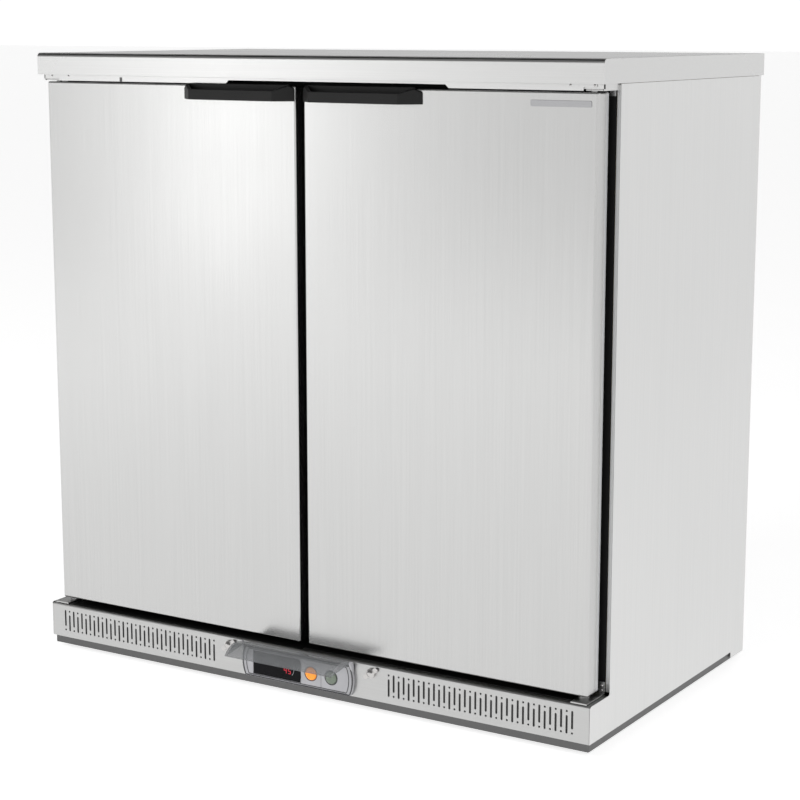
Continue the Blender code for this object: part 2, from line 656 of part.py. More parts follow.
def make_evaporator(build):
    """Cold coil behind a cover on the back wall, with its fan and the fan's motor."""
    half, rear = EVAPORATOR_X, CAVITY_BACK - GAP - SHEET - GAP
    fan_z = EVAPORATOR_FAN_Z
    cover = build.box("evaporator_cover", "liner", (-half, half), (EVAPORATOR_FRONT, rear),
                      (EVAPORATOR_LOW, EVAPORATOR_HIGH))
    hollow = build.box("evaporator_hollow", "liner", (-half + 1.2, half - 1.2),
                       (EVAPORATOR_FRONT + 1.2, rear + 5), (EVAPORATOR_LOW + 1.2, EVAPORATOR_HIGH - 1.2))
    mouth = build.rod("evaporator_mouth", "liner", "Y", (0, fan_z), 58, EVAPORATOR_FRONT - 5,
                      EVAPORATOR_FRONT + 5, 32)
    side_slot = build.box("evaporator_pipe_slot", "liner", (half - 5, half + 5), (430, rear + 5),
                          (630, 680))
    build.cut(cover, hollow, mouth, side_slot)
    build.box("evaporator_coil", "aluminium", (-210, 205), (430, rear - 1), (EVAPORATOR_LOW + 8, 788))
    motor = build.rod("evaporator_fan_motor", "black_steel", "Y", (0, fan_z), 20, 415.5, 429, 20)
    arm = build.box("evaporator_motor_arm", "black_steel", (-5, 5), (422, 426),
                    (EVAPORATOR_LOW + 1.5, EVAPORATOR_HIGH - 1.5))
    build.join(motor, arm)
    make_fan(build, "evaporator_fan", "Y", (0, fan_z), 52, 15, (400.5, 414.5), (0, 407.5, fan_z))


def make_compressor_bay(build):
    """Compressor, condenser with its fan, drier, pipes, condensate pan and power inlet."""
    x, y = COMPRESSOR
    floor = GROUND + 1.2 + GAP
    profile = [(46, floor), (46, floor + 12), (66, floor + 16), (74, floor + 34), (75, floor + 92),
               (72, floor + 122), (60, floor + 146), (36, floor + 160), (8, floor + 165)]
    build.turned("compressor", "black_steel", (x, y), profile, 24)

    fan_centre = (CONDENSER_FAN_Y, CONDENSER_FAN_Z)
    build.box("condenser_coil", "aluminium", (-82, -30), (318, 482), (38, 242))
    shroud = build.box("condenser_shroud", "galvanised", (-29.5, 12), (318, 482), (38, 242))
    hollow = build.box("shroud_hollow", "galvanised", (-40, 10.8), (319.2, 480.8), (39.2, 240.8))
    mouth = build.rod("shroud_mouth", "galvanised", "X", fan_centre, 68, 5, 20, 32)
    build.cut(shroud, hollow, mouth)
    make_fan(build, "condenser_fan", "X", fan_centre, 62, 18, (-10, 8), (-1, *fan_centre))
    motor = build.rod("condenser_fan_motor", "black_steel", "X", fan_centre, 24, 12.6, 44, 20)
    arm = build.box("condenser_motor_arm", "black_steel", (13, 17),
                    (CONDENSER_FAN_Y - 6, CONDENSER_FAN_Y + 6), (36, 244))
    build.join(motor, arm)

    drier = [(3, 62), (3, 78), (9, 84), (11, 88), (11, 150), (9, 154), (3, 160), (3, 172)]
    build.turned("filter_drier", "copper", (-150, 400), drier, 14)
    build.pipe("discharge_line", "copper",
               [(x - 36, y, 173), (x - 60, y, 215), (120, 400, 252), (0, 400, 254), (-50, 400, 254),
                (-56, 400, 250), (-56, 400, 242.6)], 3.0)
    port_x, port_y = PORT
    build.pipe("suction_line", "copper",
               [(x + 44, y, 171), (x + 70, y + 14, 210), (port_x + 6, port_y, 240), (port_x + 6, port_y, 300),
                (port_x + 6, port_y, 420), (port_x + 6, port_y, 620), (port_x - 20, port_y, 655),
                (260, port_y, 660), (206, port_y, 660)], 4.0)
    build.pipe("liquid_line", "copper",
               [(-150, 400, 172.5), (-150, 400, 215), (-120, 455, 251), (0, 460, 253), (200, 460, 253),
                (310, 445, 250), (port_x - 8, port_y, 268), (port_x - 8, port_y, 320),
                (port_x - 8, port_y, 460), (port_x - 8, port_y, 600), (port_x - 30, port_y, 638),
                (250, port_y, 642), (206, port_y, 642)], 1.8)

    pan = build.box("condensate_pan", "black_plastic", (-370, -200), (318, 482), (floor, 50))
    hollow = build.box("pan_hollow", "black_plastic", (-368, -202), (320, 480), (floor + 2, 60))
    build.cut(pan, hollow)
    build.box("power_inlet", "black_plastic", (-418, -382), (493.7, 498), (260, 290))


# ---------------------------------------------------------------- control unit

def bulged(half, low, high, bulge, steps=6):
    """An outline with level top and bottom and ends that bow outwards, as ( ) do."""
    tall = (high - low) / 2
    middle = (high + low) / 2
    radius = (tall ** 2 + bulge ** 2) / (2 * bulge)
    sweep = math.degrees(math.asin(tall / radius))
    centre = half - radius
    right = arc(centre, middle, radius, -sweep, sweep, steps)
    return right + [(-u, v) for u, v in reversed(right)]


def make_control(build):
    """Bezel with flap ears, the controller, two push buttons and the clear flap."""
    bezel = build.prism("control_bezel", "grey_plastic", "Y",
                        bulged(CONTROL_X, CONTROL_LOW, CONTROL_HIGH, 5), CONTROL_FRONT, TOE_FRONT - GAP)
    collar = build.box("bezel_collar", "grey_plastic", (-81, 81), (TOE_FRONT - 1, 6.0), (27, 56))
    ear = [(CONTROL_FRONT + 3, 55), (CONTROL_FRONT + 3, 66), (-11, 70.5), (-17, 70.5), (-17, 63.5),
           (CONTROL_FRONT + 0.5, 55)]
    ears = [build.prism(f"bezel_ear_{name}", "grey_plastic", "X", ear, *across(side, 89.3, 92.0))
            for name, side in SIDES]
    build.join(bezel, collar, *ears)
    display = (DISPLAY_LEFT - GAP, DISPLAY_RIGHT + GAP)
    window = build.box("bezel_window", "grey_plastic", display, (-20, 20), (29.7, 53.3))
    recess = build.box("bezel_face_recess", "grey_plastic", display, (-20, CONTROL_FRONT + 2.5),
                       (24.0, 58.0))
    bores = [build.rod(f"bezel_bore_{i}", "grey_plastic", "Y", (x, BUTTON_Z), BUTTON_RADIUS + 0.4,
                       -20, 20, 24) for i, x in enumerate((LIGHT_BUTTON_X, POWER_BUTTON_X))]
    pin_hole = build.rod("bezel_pin_hole", "grey_plastic", "X", (FLAP_PIVOT_Y, FLAP_PIVOT_Z), 1.9,
                         -100, 100, 16)
    build.cut(bezel, window, recess, *bores, pin_hole)

    face = build.box("controller", "black_plastic", (DISPLAY_LEFT, DISPLAY_RIGHT),
                     (CONTROL_FRONT + 0.8, CONTROL_FRONT + 2.2), (24.4, 57.6))
    case = build.box("controller_case", "black_plastic", (DISPLAY_LEFT + 2, DISPLAY_RIGHT - 2),
                     (CONTROL_FRONT + 1.5, 44.0), (30.2, 52.8))
    build.join(face, case)

    for name, x, colour in (("light_button", LIGHT_BUTTON_X, "orange"),
                            ("power_button", POWER_BUTTON_X, "green_grey")):
        centre = (x, BUTTON_Z)
        cap = build.rod(name, colour, "Y", centre, BUTTON_RADIUS, CONTROL_FRONT - 1.8, 2.0, 24,
                        (x, CONTROL_FRONT, BUTTON_Z))
        stem = build.rod(name + "_stem", colour, "Y", centre, 4.0, 1.0, 12.0, 16,
                         (x, CONTROL_FRONT, BUTTON_Z))
        build.join(cap, stem)
    make_flap(build)
    for side_name, side in SIDES:
        make_wing_screw(build, "wing_screw_" + side_name, side * WING_SCREW_X)


def flap_section(inset, open_by):
    """The flap's bowed section at rest in y and z: an arc over a chord that starts at the pivot.

    inset draws the arc inwards for the hollow, and open_by carries the hollow out past the chord.
    """
    half = FLAP_CHORD / 2
    radius = (half ** 2 + FLAP_RISE ** 2) / (2 * FLAP_RISE)
    centre = FLAP_RISE - radius
    inner = radius - inset
    reach = math.degrees(math.acos(max(-1.0, -centre / inner)))
    points = arc(half, centre, inner, 90 + reach, 90 - reach, 10)
    if open_by:
        points += [(points[-1][0], -open_by), (points[0][0], -open_by)]
    drop = FLAP_REST_DROP
    turned = []
    for along, up in points:
        y = FLAP_PIVOT_Y - along * math.cos(drop) - up * math.sin(drop)
        z = FLAP_PIVOT_Z - along * math.sin(drop) + up * math.cos(drop)
        turned.append((y, z))
    return turned


def make_flap(build):
    """Clear trough with closed ends and a rolled edge that turns between the bezel's ears."""
    pivot = (0, FLAP_PIVOT_Y, FLAP_PIVOT_Z)
    flap = build.prism("control_flap", "clear", "X", flap_section(0.0, 0.0), -FLAP_X, FLAP_X, pivot)
    inside = FLAP_X - FLAP_SHEET
    hollow = build.prism("flap_hollow", "clear", "X", flap_section(FLAP_SHEET, 6.0), -inside, inside,
                         pivot)
    centre = (FLAP_PIVOT_Y, FLAP_PIVOT_Z)
    barrel = build.rod("flap_barrel", "clear", "X", centre, 2.6, -FLAP_X + 0.3, FLAP_X - 0.3, 12, pivot)
    pins = build.rod("flap_pins", "clear", "X", centre, 1.4, -91.8, 91.8, 12, pivot)
    build.cut(flap, hollow)
    build.join(flap, barrel, pins)


def make_wing_screw(build, name, x):
    """Domed screw with two wings, through the base panel."""
    z = WING_SCREW_Z
    pivot = (x, TOE_FRONT, z)
    front = TOE_FRONT - GAP
    collar = build.rod(name, "stainless", "Y", (x, z), 6.5, front - 4.0, front, 20, pivot)
    dome = build.rod(name + "_dome", "stainless", "Y", (x, z), 5.0, front - 6.5, front - 2.0, 20, pivot)
    lean = math.radians(35)
    wing = []
    for u, v in rectangle(-13.0, 13.0, -3.2, 3.2):
        wing.append((x + u * math.cos(lean) - v * math.sin(lean),
                     z + u * math.sin(lean) + v * math.cos(lean)))
    wings = build.prism(name + "_wings", "stainless", "Y", wing, front - 3.0, front - 1.0, pivot)
    shank = build.rod(name + "_shank", "stainless", "Y", (x, z), 2.5, front - 1.5, TOE_FRONT + 8, 12,
                      pivot)
    build.join(collar, dome, wings, shank)


def main():
    build = Builder()
    make_worktop(build)
    make_rear_panel(build)
    make_cabinet(build)
    make_front_frame(build)
    make_base(build)
    make_feet(build)
    for side_name, side in SIDES:
        make_side_panel(build, "side_panel_" + side_name, side)
        make_hinges(build, side_name, side)
        make_door(build, side_name, side)
    make_interior(build)
    make_evaporator(build)
    make_compressor_bay(build)
    make_control(build)


main()
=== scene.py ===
"""Looks of the two-door under-counter bottle cooler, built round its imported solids.

Places come from the frame's boxes, so a piece follows its solid. Lengths are metres; MM turns
millimetres into them. +X is the cooler's right, +Y its back, +Z up.
"""

import json
import math

import bmesh
import bpy
from mathutils import Matrix, Vector


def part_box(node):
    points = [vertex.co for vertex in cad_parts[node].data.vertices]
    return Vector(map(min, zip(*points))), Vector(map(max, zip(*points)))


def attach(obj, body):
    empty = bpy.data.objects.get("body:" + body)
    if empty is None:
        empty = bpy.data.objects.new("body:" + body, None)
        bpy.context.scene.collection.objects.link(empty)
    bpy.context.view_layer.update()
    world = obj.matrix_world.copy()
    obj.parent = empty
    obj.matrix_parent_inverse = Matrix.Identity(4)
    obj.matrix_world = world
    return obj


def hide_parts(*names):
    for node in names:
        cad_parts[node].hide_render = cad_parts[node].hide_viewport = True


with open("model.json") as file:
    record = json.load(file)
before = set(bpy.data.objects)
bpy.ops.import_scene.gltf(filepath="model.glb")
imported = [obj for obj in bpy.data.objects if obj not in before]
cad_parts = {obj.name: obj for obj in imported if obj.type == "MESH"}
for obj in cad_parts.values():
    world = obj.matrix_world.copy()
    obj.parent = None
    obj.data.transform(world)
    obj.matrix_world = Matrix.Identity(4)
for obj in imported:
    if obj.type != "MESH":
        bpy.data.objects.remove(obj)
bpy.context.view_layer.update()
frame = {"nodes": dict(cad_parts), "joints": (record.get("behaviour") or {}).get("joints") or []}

MM = 0.001
SIDES = (("left", -1), ("right", 1))

# Sheet metal
SHEET = 1.0 * MM
TOP_SHEET = 1.2 * MM
TOP_EDGE = 6.0 * MM            # radius of the worktop's front edge
DOOR_EDGE = 2.5 * MM
FOLD = 1.5 * MM

# Grille
GRILLE_COLUMNS = 36
GRILLE_NEAR, GRILLE_FAR = 147 * MM, 424 * MM
GRILLE_LOW, GRILLE_HIGH = 28.2 * MM, 59.8 * MM
SLOT_WIDTH = 3.0 * MM
SLOT_LENGTH = 24.6 * MM

# Control unit
BEZEL_TALL = 43 * MM
BEZEL_SETBACK = 5.5 * MM       # from the ears' front to the face
FLAP_DROP = math.radians(9.0)  # below level, as it rests
FLAP_RISE = 10 * MM            # bow of its section
FLAP_SHEET = 2 * MM
FLAP_END = 3.3 * MM            # length of each pin past the shell

# Wire shelves
RAIL = 2.6 * MM
WIRE = 1.4 * MM
SHELF_WIRES = 22

FAN_BLADES = 5

# Small screws: radius of the head
SMALL_HEAD = 1.4 * MM
HINGE_HEAD = 2.2 * MM
PANEL_HEAD = 3 * MM


def spans(node):
    """A solid's box as three (low, high) pairs."""
    low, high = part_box(node)
    return tuple((low[i], high[i]) for i in range(3))


def mid(span):
    return (span[0] + span[1]) / 2


def around(level, half):
    """The span that reaches half to each side of a level."""
    return (level - half, level + half)


def pivot_of(body):
    """Where a body's joint stands."""
    return Vector(next(joint for joint in frame["joints"] if joint["child"] == body)["pos_m"])


# ---------------------------------------------------------------- materials

def fill(node, values):
    """Sets sockets by name, with _ for a space."""
    for name, value in values.items():
        node.inputs[name.replace("_", " ")].default_value = value


class Paint:
    """Builds one procedural material: noise fields that drive a Principled shader."""

    def __init__(self, name, colour, roughness, metallic=0.0):
        self.material = bpy.data.materials.new(name)
        self.material.use_nodes = True
        self.tree = self.material.node_tree
        self.shader = self.tree.nodes["Principled BSDF"]
        self.colour = colour
        self.roughness = roughness
        self.set(Base_Color=(*colour, 1.0), Roughness=roughness, Metallic=metallic)
        self.coords = self.add("TexCoord")

    def set(self, **values):
        """Fixed numbers straight on the shader's sockets."""
        fill(self.shader, values)
        return self

    def add(self, kind, **values):
        """A new node with numbers on its sockets."""
        node = self.tree.nodes.new("ShaderNode" + kind)
        fill(node, values)
        return node

    def noise(self, scale, detail=3.0):
        """A noise field; scale is cycles per metre, one number or one each for x, y and z."""
        mapping = self.add("Mapping", Scale=(scale,) * 3 if isinstance(scale, float) else scale)
        texture = self.add("TexNoise", Scale=1.0, Detail=detail)
        self.tree.links.new(self.coords.outputs["Object"], mapping.inputs["Vector"])
        self.tree.links.new(mapping.outputs["Vector"], texture.inputs["Vector"])
        return texture.outputs["Fac"]

    def cells(self, scale):
        """Random flat-toned cells, as in zinc spangle."""
        texture = self.add("TexVoronoi", Scale=scale)
        self.tree.links.new(self.coords.outputs["Object"], texture.inputs["Vector"])
        split = self.add("SeparateColor")
        self.tree.links.new(texture.outputs["Color"], split.inputs["Color"])
        return split.outputs["Red"]

    def vary_roughness(self, field, amount):
        """Lets the field's middle range swing the roughness either way."""
        low, high = max(0.02, self.roughness - amount), self.roughness + amount
        ramp = self.add("MapRange", From_Min=0.3, From_Max=0.7, To_Min=low, To_Max=high)
        self.tree.links.new(field, ramp.inputs["Value"])
        self.tree.links.new(ramp.outputs["Result"], self.shader.inputs["Roughness"])
        return self

    def vary_colour(self, field, amount, other=None):
        """Blends between a darker and a lighter shade, or from the base to another colour."""
        low = [channel * (1 - amount) for channel in self.colour]
        high = [min(1.0, channel * (1 + amount)) for channel in self.colour]
        if other:
            low, high = self.colour, other
        ramp = self.add("ValToRGB")
        for stop, position, colour in zip(ramp.color_ramp.elements, (0.3, 0.7), (low, high)):
            stop.position = position
            stop.color = (*colour, 1.0)
        self.tree.links.new(field, ramp.inputs["Fac"])
        self.tree.links.new(ramp.outputs["Color"], self.shader.inputs["Base Color"])
        return self

    def bump(self, field, strength, distance):
        node = self.add("Bump", Strength=strength, Distance=distance)
        self.tree.links.new(field, node.inputs["Height"])
        self.tree.links.new(node.outputs["Normal"], self.shader.inputs["Normal"])
        return self


def brushed(name, colour, roughness, along, strength=0.05):
    """Brushed sheet metal, its grain along one axis, with faint handling marks."""
    paint = Paint(name, colour, roughness, 1.0)
    grain = [1100.0, 1100.0, 1100.0]
    grain["XYZ".index(along)] = 5.0
    streaks = paint.noise(grain, 4.0)
    paint.vary_colour(streaks, 0.025)
    paint.vary_roughness(paint.noise(5.0, 2.0), 0.012)
    return paint.bump(streaks, strength, 0.00005).material


def moulded(name, colour, roughness, grain=900.0, strength=0.25):
    """Moulded plastic or rubber: an even fine grain with a little tonal drift."""
    paint = Paint(name, colour, roughness)
    paint.set(IOR=1.35)
    paint.vary_colour(paint.noise(18.0), 0.12)
    fine = paint.noise(grain, 2.0)
    paint.vary_roughness(fine, 0.06)
    return paint.bump(fine, strength, 0.00008).material


def plated(name, colour, roughness):
    """Bright plating with slight dulling."""
    paint = Paint(name, colour, roughness, 1.0)
    paint.vary_colour(paint.noise(60.0), 0.04)
    return paint.vary_roughness(paint.noise(140.0), 0.05).material


def zinc(name, colour, roughness):
    """Galvanised sheet with its spangle."""
    paint = Paint(name, colour, roughness, 1.0)
    spangle = paint.cells(260.0)
    paint.vary_colour(spangle, 0.03)
    return paint.vary_roughness(spangle, 0.03).material


def tarnished(name, colour, dull, roughness):
    """Copper with darker patches."""
    paint = Paint(name, colour, roughness, 1.0)
    paint.vary_colour(paint.noise(45.0, 5.0), 0.0, dull)
    return paint.vary_roughness(paint.noise(120.0), 0.1).material


def clear_plastic(name, colour, alpha):
    """Tinted see-through plastic with faint moulding ripple."""
    paint = Paint(name, colour, 0.12)
    paint.set(Alpha=alpha, IOR=1.5, Coat_Weight=0.6, Coat_Roughness=0.05)
    paint.vary_colour(paint.noise((25.0, 60.0, 60.0)), 0.08)
    return paint.vary_roughness(paint.noise((50.0, 90.0, 90.0)), 0.03).material


def glowing(name, colour, strength, mottle=0.15):
    """A lit or translucent surface with a little mottling."""
    paint = Paint(name, colour, 0.3)
    paint.set(Emission_Color=(*colour, 1.0), Emission_Strength=strength, Coat_Weight=0.5)
    paint.vary_colour(paint.noise(220.0), mottle)
    return paint.vary_roughness(paint.noise(300.0), 0.05).material


def glass_black(name):
    """Glossy black display window."""
    paint = Paint(name, (0.004, 0.004, 0.005), 0.12)
    paint.set(IOR=1.2)
    paint.vary_colour(paint.noise(40.0), 0.3)
    return paint.vary_roughness(paint.noise(90.0), 0.03).material


def foam_block(name):
    """Cut edge of rigid foam: fine cells."""
    paint = Paint(name, (0.72, 0.62, 0.40), 0.9)
    cells = paint.noise(700.0, 5.0)
    paint.vary_colour(cells, 0.15)
    return paint.bump(cells, 0.5, 0.0004).material


LOOKS = {}
for look, maker, *values in (
    # The four stainless finishes below are one steel. The doors and base get darker base colours than the
    # sides and worktop: painted shade, set to how bright each face shows. Their grain and roughness differ
    # as well.
    ("door_steel", brushed, (0.56, 0.56, 0.555), 0.23, "Z"),
    ("side_steel", brushed, (0.70, 0.70, 0.695), 0.36, "Z"),
    ("top_steel", brushed, (0.64, 0.64, 0.635), 0.28, "X"),
    ("base_steel", brushed, (0.53, 0.53, 0.525), 0.34, "X"),
    # The galvanised zinc made far darker: painted shade, used on the tray under the cooler, the side seams
    # and the fascia catch.
    ("tray_steel", zinc, (0.14, 0.14, 0.14), 0.42),
    ("zinc", zinc, (0.52, 0.53, 0.54), 0.42),
    ("liner_steel", brushed, (0.72, 0.73, 0.74), 0.38, "X", 0.08),
    ("black", moulded, (0.009, 0.009, 0.009), 0.5),
    ("frame_black", moulded, (0.003, 0.003, 0.003), 0.6),
    ("gasket", moulded, (0.002, 0.002, 0.002), 0.65, 500.0, 0.15),
    ("filter", moulded, (0.10, 0.10, 0.10), 0.8, 700.0, 0.6),
    ("foam", foam_block),
    ("wire", plated, (0.74, 0.74, 0.76), 0.22),
    ("chrome", plated, (0.56, 0.55, 0.54), 0.2),
    ("copper", tarnished, (0.72, 0.38, 0.22), (0.35, 0.17, 0.09), 0.3),
    ("black_paint", moulded, (0.02, 0.02, 0.022), 0.3, 250.0, 0.1),
    ("fins", brushed, (0.76, 0.77, 0.79), 0.33, "Z"),
    ("flap", clear_plastic, (0.30, 0.31, 0.32), 0.5),
    ("rim", clear_plastic, (0.06, 0.06, 0.065), 0.85),
    ("grey", moulded, (0.50, 0.50, 0.52), 0.38, 1200.0, 0.1),
    ("orange", glowing, (0.95, 0.30, 0.01), 0.35),
    ("green", glowing, (0.16, 0.20, 0.15), 0.05),
    ("red", glowing, (0.55, 0.01, 0.03), 0.9),
    ("lamp", glowing, (0.88, 0.88, 0.84), 0.1, 0.04),
    ("display", glass_black),
    ("badge", brushed, (0.42, 0.42, 0.43), 0.25, "X"),
):
    LOOKS[look] = maker(look, *values)


# ---------------------------------------------------------------- shapes

def on_axis(axis, level, u, v):
    """The point at a level on an axis, with u and v on the other two in x, y, z order."""
    if axis == "X":
        return (level, u, v)
    if axis == "Y":
        return (u, level, v)
    return (u, v, level)


def rectangle(u, v):
    return [(u[0], v[0]), (u[1], v[0]), (u[1], v[1]), (u[0], v[1])]


def arc(u, v, radius, start, end, steps):
    """Points on an arc, its angles in degrees."""
    points = []
    for i in range(steps + 1):
        angle = math.radians(start + (end - start) * i / steps)
        points.append((u + radius * math.cos(angle), v + radius * math.sin(angle)))
    return points


def circle(u, v, radius, sides=32):
    return arc(u, v, radius, 0, 360 - 360 / sides, sides - 1)


def rounded(u, v, radius, steps=5):
    """A rectangle with round corners."""
    points = arc(u[1] - radius, v[0] + radius, radius, 270, 360, steps)
    points += arc(u[1] - radius, v[1] - radius, radius, 0, 90, steps)
    points += arc(u[0] + radius, v[1] - radius, radius, 90, 180, steps)
    points += arc(u[0] + radius, v[0] + radius, radius, 180, 270, steps)
    return points


def bow(tip, low, high, bulge, steps):
    """An arc from low to high that bulges out to its tip."""
    tall = (high - low) / 2
    radius = (tall ** 2 + bulge ** 2) / (2 * bulge)
    sweep = math.degrees(math.asin(tall / radius))
    return arc(tip - radius, mid((high, low)), radius, -sweep, sweep, steps)


def bulged(half, low, high, bulge):
    """Level top and bottom, with ends that bow outwards."""
    right = bow(half, low, high, bulge, 10)
    return right + [(-u, v) for u, v in reversed(right)]


def prism(edit, axis, outline, low, high):
    """Adds an outline extruded between two levels."""
    rings = []
    for level in (low, high):
        rings.append([edit.verts.new(on_axis(axis, level, u, v)) for u, v in outline])
    edit.faces.new(list(reversed(rings[0])))
    edit.faces.new(rings[1])
    loft(edit, rings, closed=False)


def loft(edit, rings, closed):
    """Adds the faces between successive rings of vertices."""
    pairs = list(zip(rings, rings[1:]))
    if closed:
        pairs.append((rings[-1], rings[0]))
    for lower, upper in pairs:
        for i in range(len(lower)):
            j = (i + 1) % len(lower)
            edit.faces.new((lower[i], lower[j], upper[j], upper[i]))


def block(edit, x, y, z):
    prism(edit, "Z", rectangle(x, y), *z)


def disc(edit, axis, centre, radius, low, high, sides=32):
    prism(edit, axis, circle(*centre, radius, sides), low, high)


def lathe(edit, axis, centre, profile, sides=40):
    """Adds a solid turned about an axis; the profile is (radius, level) pairs."""
    rings = []
    for radius, level in profile:
        rings.append([edit.verts.new(on_axis(axis, level, u, v))
                      for u, v in circle(*centre, max(radius, 0.02 * MM), sides)])
    loft(edit, rings, closed=False)
    edit.faces.new(list(reversed(rings[0])))
    edit.faces.new(rings[-1])


def tube(edit, path, radius, sides=10, closed=False):
    """Adds a round bar along a path."""
    path = [Vector(point) for point in path]
    count = len(path)
    rings = []
    normal = None
    for i in range(count):
        before = path[i - 1] if i or closed else path[0]
        after = path[(i + 1) % count] if i < count - 1 or closed else path[-1]
        along = (after - before).normalized()
        if normal is None:
            normal = along.orthogonal().normalized()
        normal = (normal - along * normal.dot(along)).normalized()
        side = along.cross(normal)
        rings.append([edit.verts.new(path[i] + radius * (normal * u + side * v))
                      for u, v in circle(0.0, 0.0, 1.0, sides)])
    loft(edit, rings, closed)
    if not closed:
        edit.faces.new(list(reversed(rings[0])))
        edit.faces.new(rings[-1])


def hoop(edit, axis, level, centre, radius, thick):
    """Adds a round ring of round wire."""
    tube(edit, [on_axis(axis, level, u, v) for u, v in circle(*centre, radius, 48)], thick, 8, True)


def frame_loft(edit, x, z, section):
    """Adds a mitred frame round a rectangle; the section is (inwards, y) pairs."""
    rings = []
    for cx, cz, sx, sz in ((x[0], z[0], 1, 1), (x[1], z[0], -1, 1), (x[1], z[1], -1, -1),
                           (x[0], z[1], 1, -1)):
        rings.append([edit.verts.new((cx + sx * u, y, cz + sz * u)) for u, y in section])
    loft(edit, rings, closed=True)


def screw_head(edit, axis, centre, level, radius, out):
    """Adds a pan head with a dimple, standing out of a face towards out."""
    profile = [(radius, 0.0), (radius, 0.25 * radius), (0.8 * radius, 0.5 * radius),
               (0.4 * radius, 0.62 * radius), (0.34 * radius, 0.3 * radius), (0.0, 0.3 * radius)]
    lathe(edit, axis, centre, [(r, level + out * h) for r, h in profile], 20)


def placed(name, edit):
    """Turns a shape into an object of the scene."""
    bmesh.ops.recalc_face_normals(edit, faces=edit.faces)
    mesh = bpy.data.meshes.new(name)
    edit.to_mesh(mesh)
    edit.free()
    made = bpy.data.objects.new(name, mesh)
    bpy.context.scene.collection.objects.link(made)
    return made


def combined(edit, other, operation):
    """The boolean of two shapes, as a new shape."""
    target, tool = placed("target", edit), placed("tool", other)
    change = target.modifiers.new("combine", "BOOLEAN")
    change.operation = operation
    change.solver = "EXACT"
    change.use_self = True
    change.object = tool
    bpy.context.view_layer.update()
    result = bmesh.new()
    shaped = target.evaluated_get(bpy.context.evaluated_depsgraph_get())
    result.from_mesh(shaped.to_mesh())
    shaped.to_mesh_clear()
    for used in (target, tool):
        bpy.data.objects.remove(used, do_unlink=True)
    bmesh.ops.remove_doubles(result, verts=result.verts, dist=0.002 * MM)
    return result


def soften(made, width, segments, angle):
    """Rounds an object's edges and evens its shading; angle is the sharpest bend left alone."""
    bevel = made.modifiers.new("edge", "BEVEL")
    bevel.width = width
    bevel.segments = segments
    bevel.limit_method = "ANGLE"
    bevel.angle_limit = math.radians(angle)
    return made.modifiers.new("even", "WEIGHTED_NORMAL")


def piece(name, body, edit, look, replaces=(), edge=0.0, segments=3, thick=0.0, sharp=35):
    """Finishes a shape as a named piece that rides on a body."""
    made = placed(name, edit)
    mesh = made.data
    mesh.shade_smooth()
    if not edge:
        mesh.set_sharp_from_angle(angle=math.radians(sharp))
        for face in mesh.polygons:
            face.use_smooth = max(abs(part) for part in face.normal) < 0.99999
    mesh.materials.append(LOOKS[look])
    if thick:
        wall = made.modifiers.new("wall", "SOLIDIFY")
        wall.thickness = thick
        wall.offset = -1.0
    if edge:
        soften(made, edge, segments, sharp).keep_sharp = True
    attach(made, body)
    if replaces:
        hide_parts(*replaces)


def dress(node, look, edge=0.4 * MM):
    """Gives a solid that stays in view its finish, with softened edges and smooth bends."""
    made = frame["nodes"][node]
    made.data.materials.clear()
    made.data.materials.append(LOOKS[look])
    made.data.shade_smooth()
    made.modifiers.new("weld", "WELD").merge_threshold = 0.005 * MM
    soften(made, edge, 2, 40)


# ---------------------------------------------------------------- cabinet

def make_worktop():
    x, y, z = spans("worktop")
    outline = [(y[1], z[0])]
    outline += arc(y[1] - FOLD, z[1] - FOLD, FOLD, 0, 90, 5)
    outline += arc(y[0] + TOP_EDGE, z[1] - TOP_EDGE, TOP_EDGE, 90, 180, 14)
    outline += [(y[0], z[0])]
    top = bmesh.new()
    prism(top, "X", outline, *x)
    hollow = bmesh.new()
    block(hollow, (x[0] + TOP_SHEET, x[1] - TOP_SHEET), (y[0] + TOP_SHEET, y[1] - TOP_SHEET),
          (z[0] - 5 * MM, z[1] - TOP_SHEET))
    top = combined(top, hollow, "DIFFERENCE")
    piece("worktop_shell", "cabinet", top, "top_steel", ["worktop"], 0.35 * MM, 2)


def make_side(side_name, side):
    """Side sheet with its toe, the folds at its front and back, and the tab at its rear foot."""
    node = f"side_panel_{side_name}"
    x, y, z = spans(node)
    base = spans("base_front_panel")
    front = spans("breaker_frame")[1][0]
    toe_top = base[2][1] + 0.6 * MM
    low = base[2][0]
    outline = [(y[1] - 46 * MM, low), (y[1] - 45 * MM, z[0]), (y[1], z[0]), (y[1], z[1]),
               (front, z[1]), (front, toe_top + 3 * MM)]
    outline += arc(front - 3 * MM, toe_top + 3 * MM, 3 * MM, 0, -90, 4)[1:]
    outline += arc(y[0] + 3 * MM, toe_top - 3 * MM, 3 * MM, 90, 180, 5)
    outline += [(y[0], low)]
    outer = x[1] if side > 0 else x[0]
    inner = outer - side * SHEET
    edit = bmesh.new()
    prism(edit, "X", outline, *sorted((outer, inner)))
    for width, level in ((6 * MM, front + 0.1 * MM), (9 * MM, y[1] - 1.1 * MM)):
        fold = sorted((outer - side * 0.3 * MM, outer - side * width))
        block(edit, fold, (level, level + SHEET), (toe_top + 3 * MM, z[1] - 1 * MM))
    piece(f"side_sheet_{side_name}", "cabinet", edit, "side_steel", [node], 0.35 * MM, 2)

    # The seam uses the darkened zinc, so it shows as a dark line along the joint under the worktop.
    hem = bmesh.new()
    edge_x = outer - side * 1.2 * MM
    seam = 0.8 * MM
    level = z[1] - seam
    tube(hem, [(edge_x, front + 4 * MM, level), (edge_x, y[1] - 2 * MM, level)], seam)
    piece(f"side_seam_{side_name}", "cabinet", hem, "tray_steel")


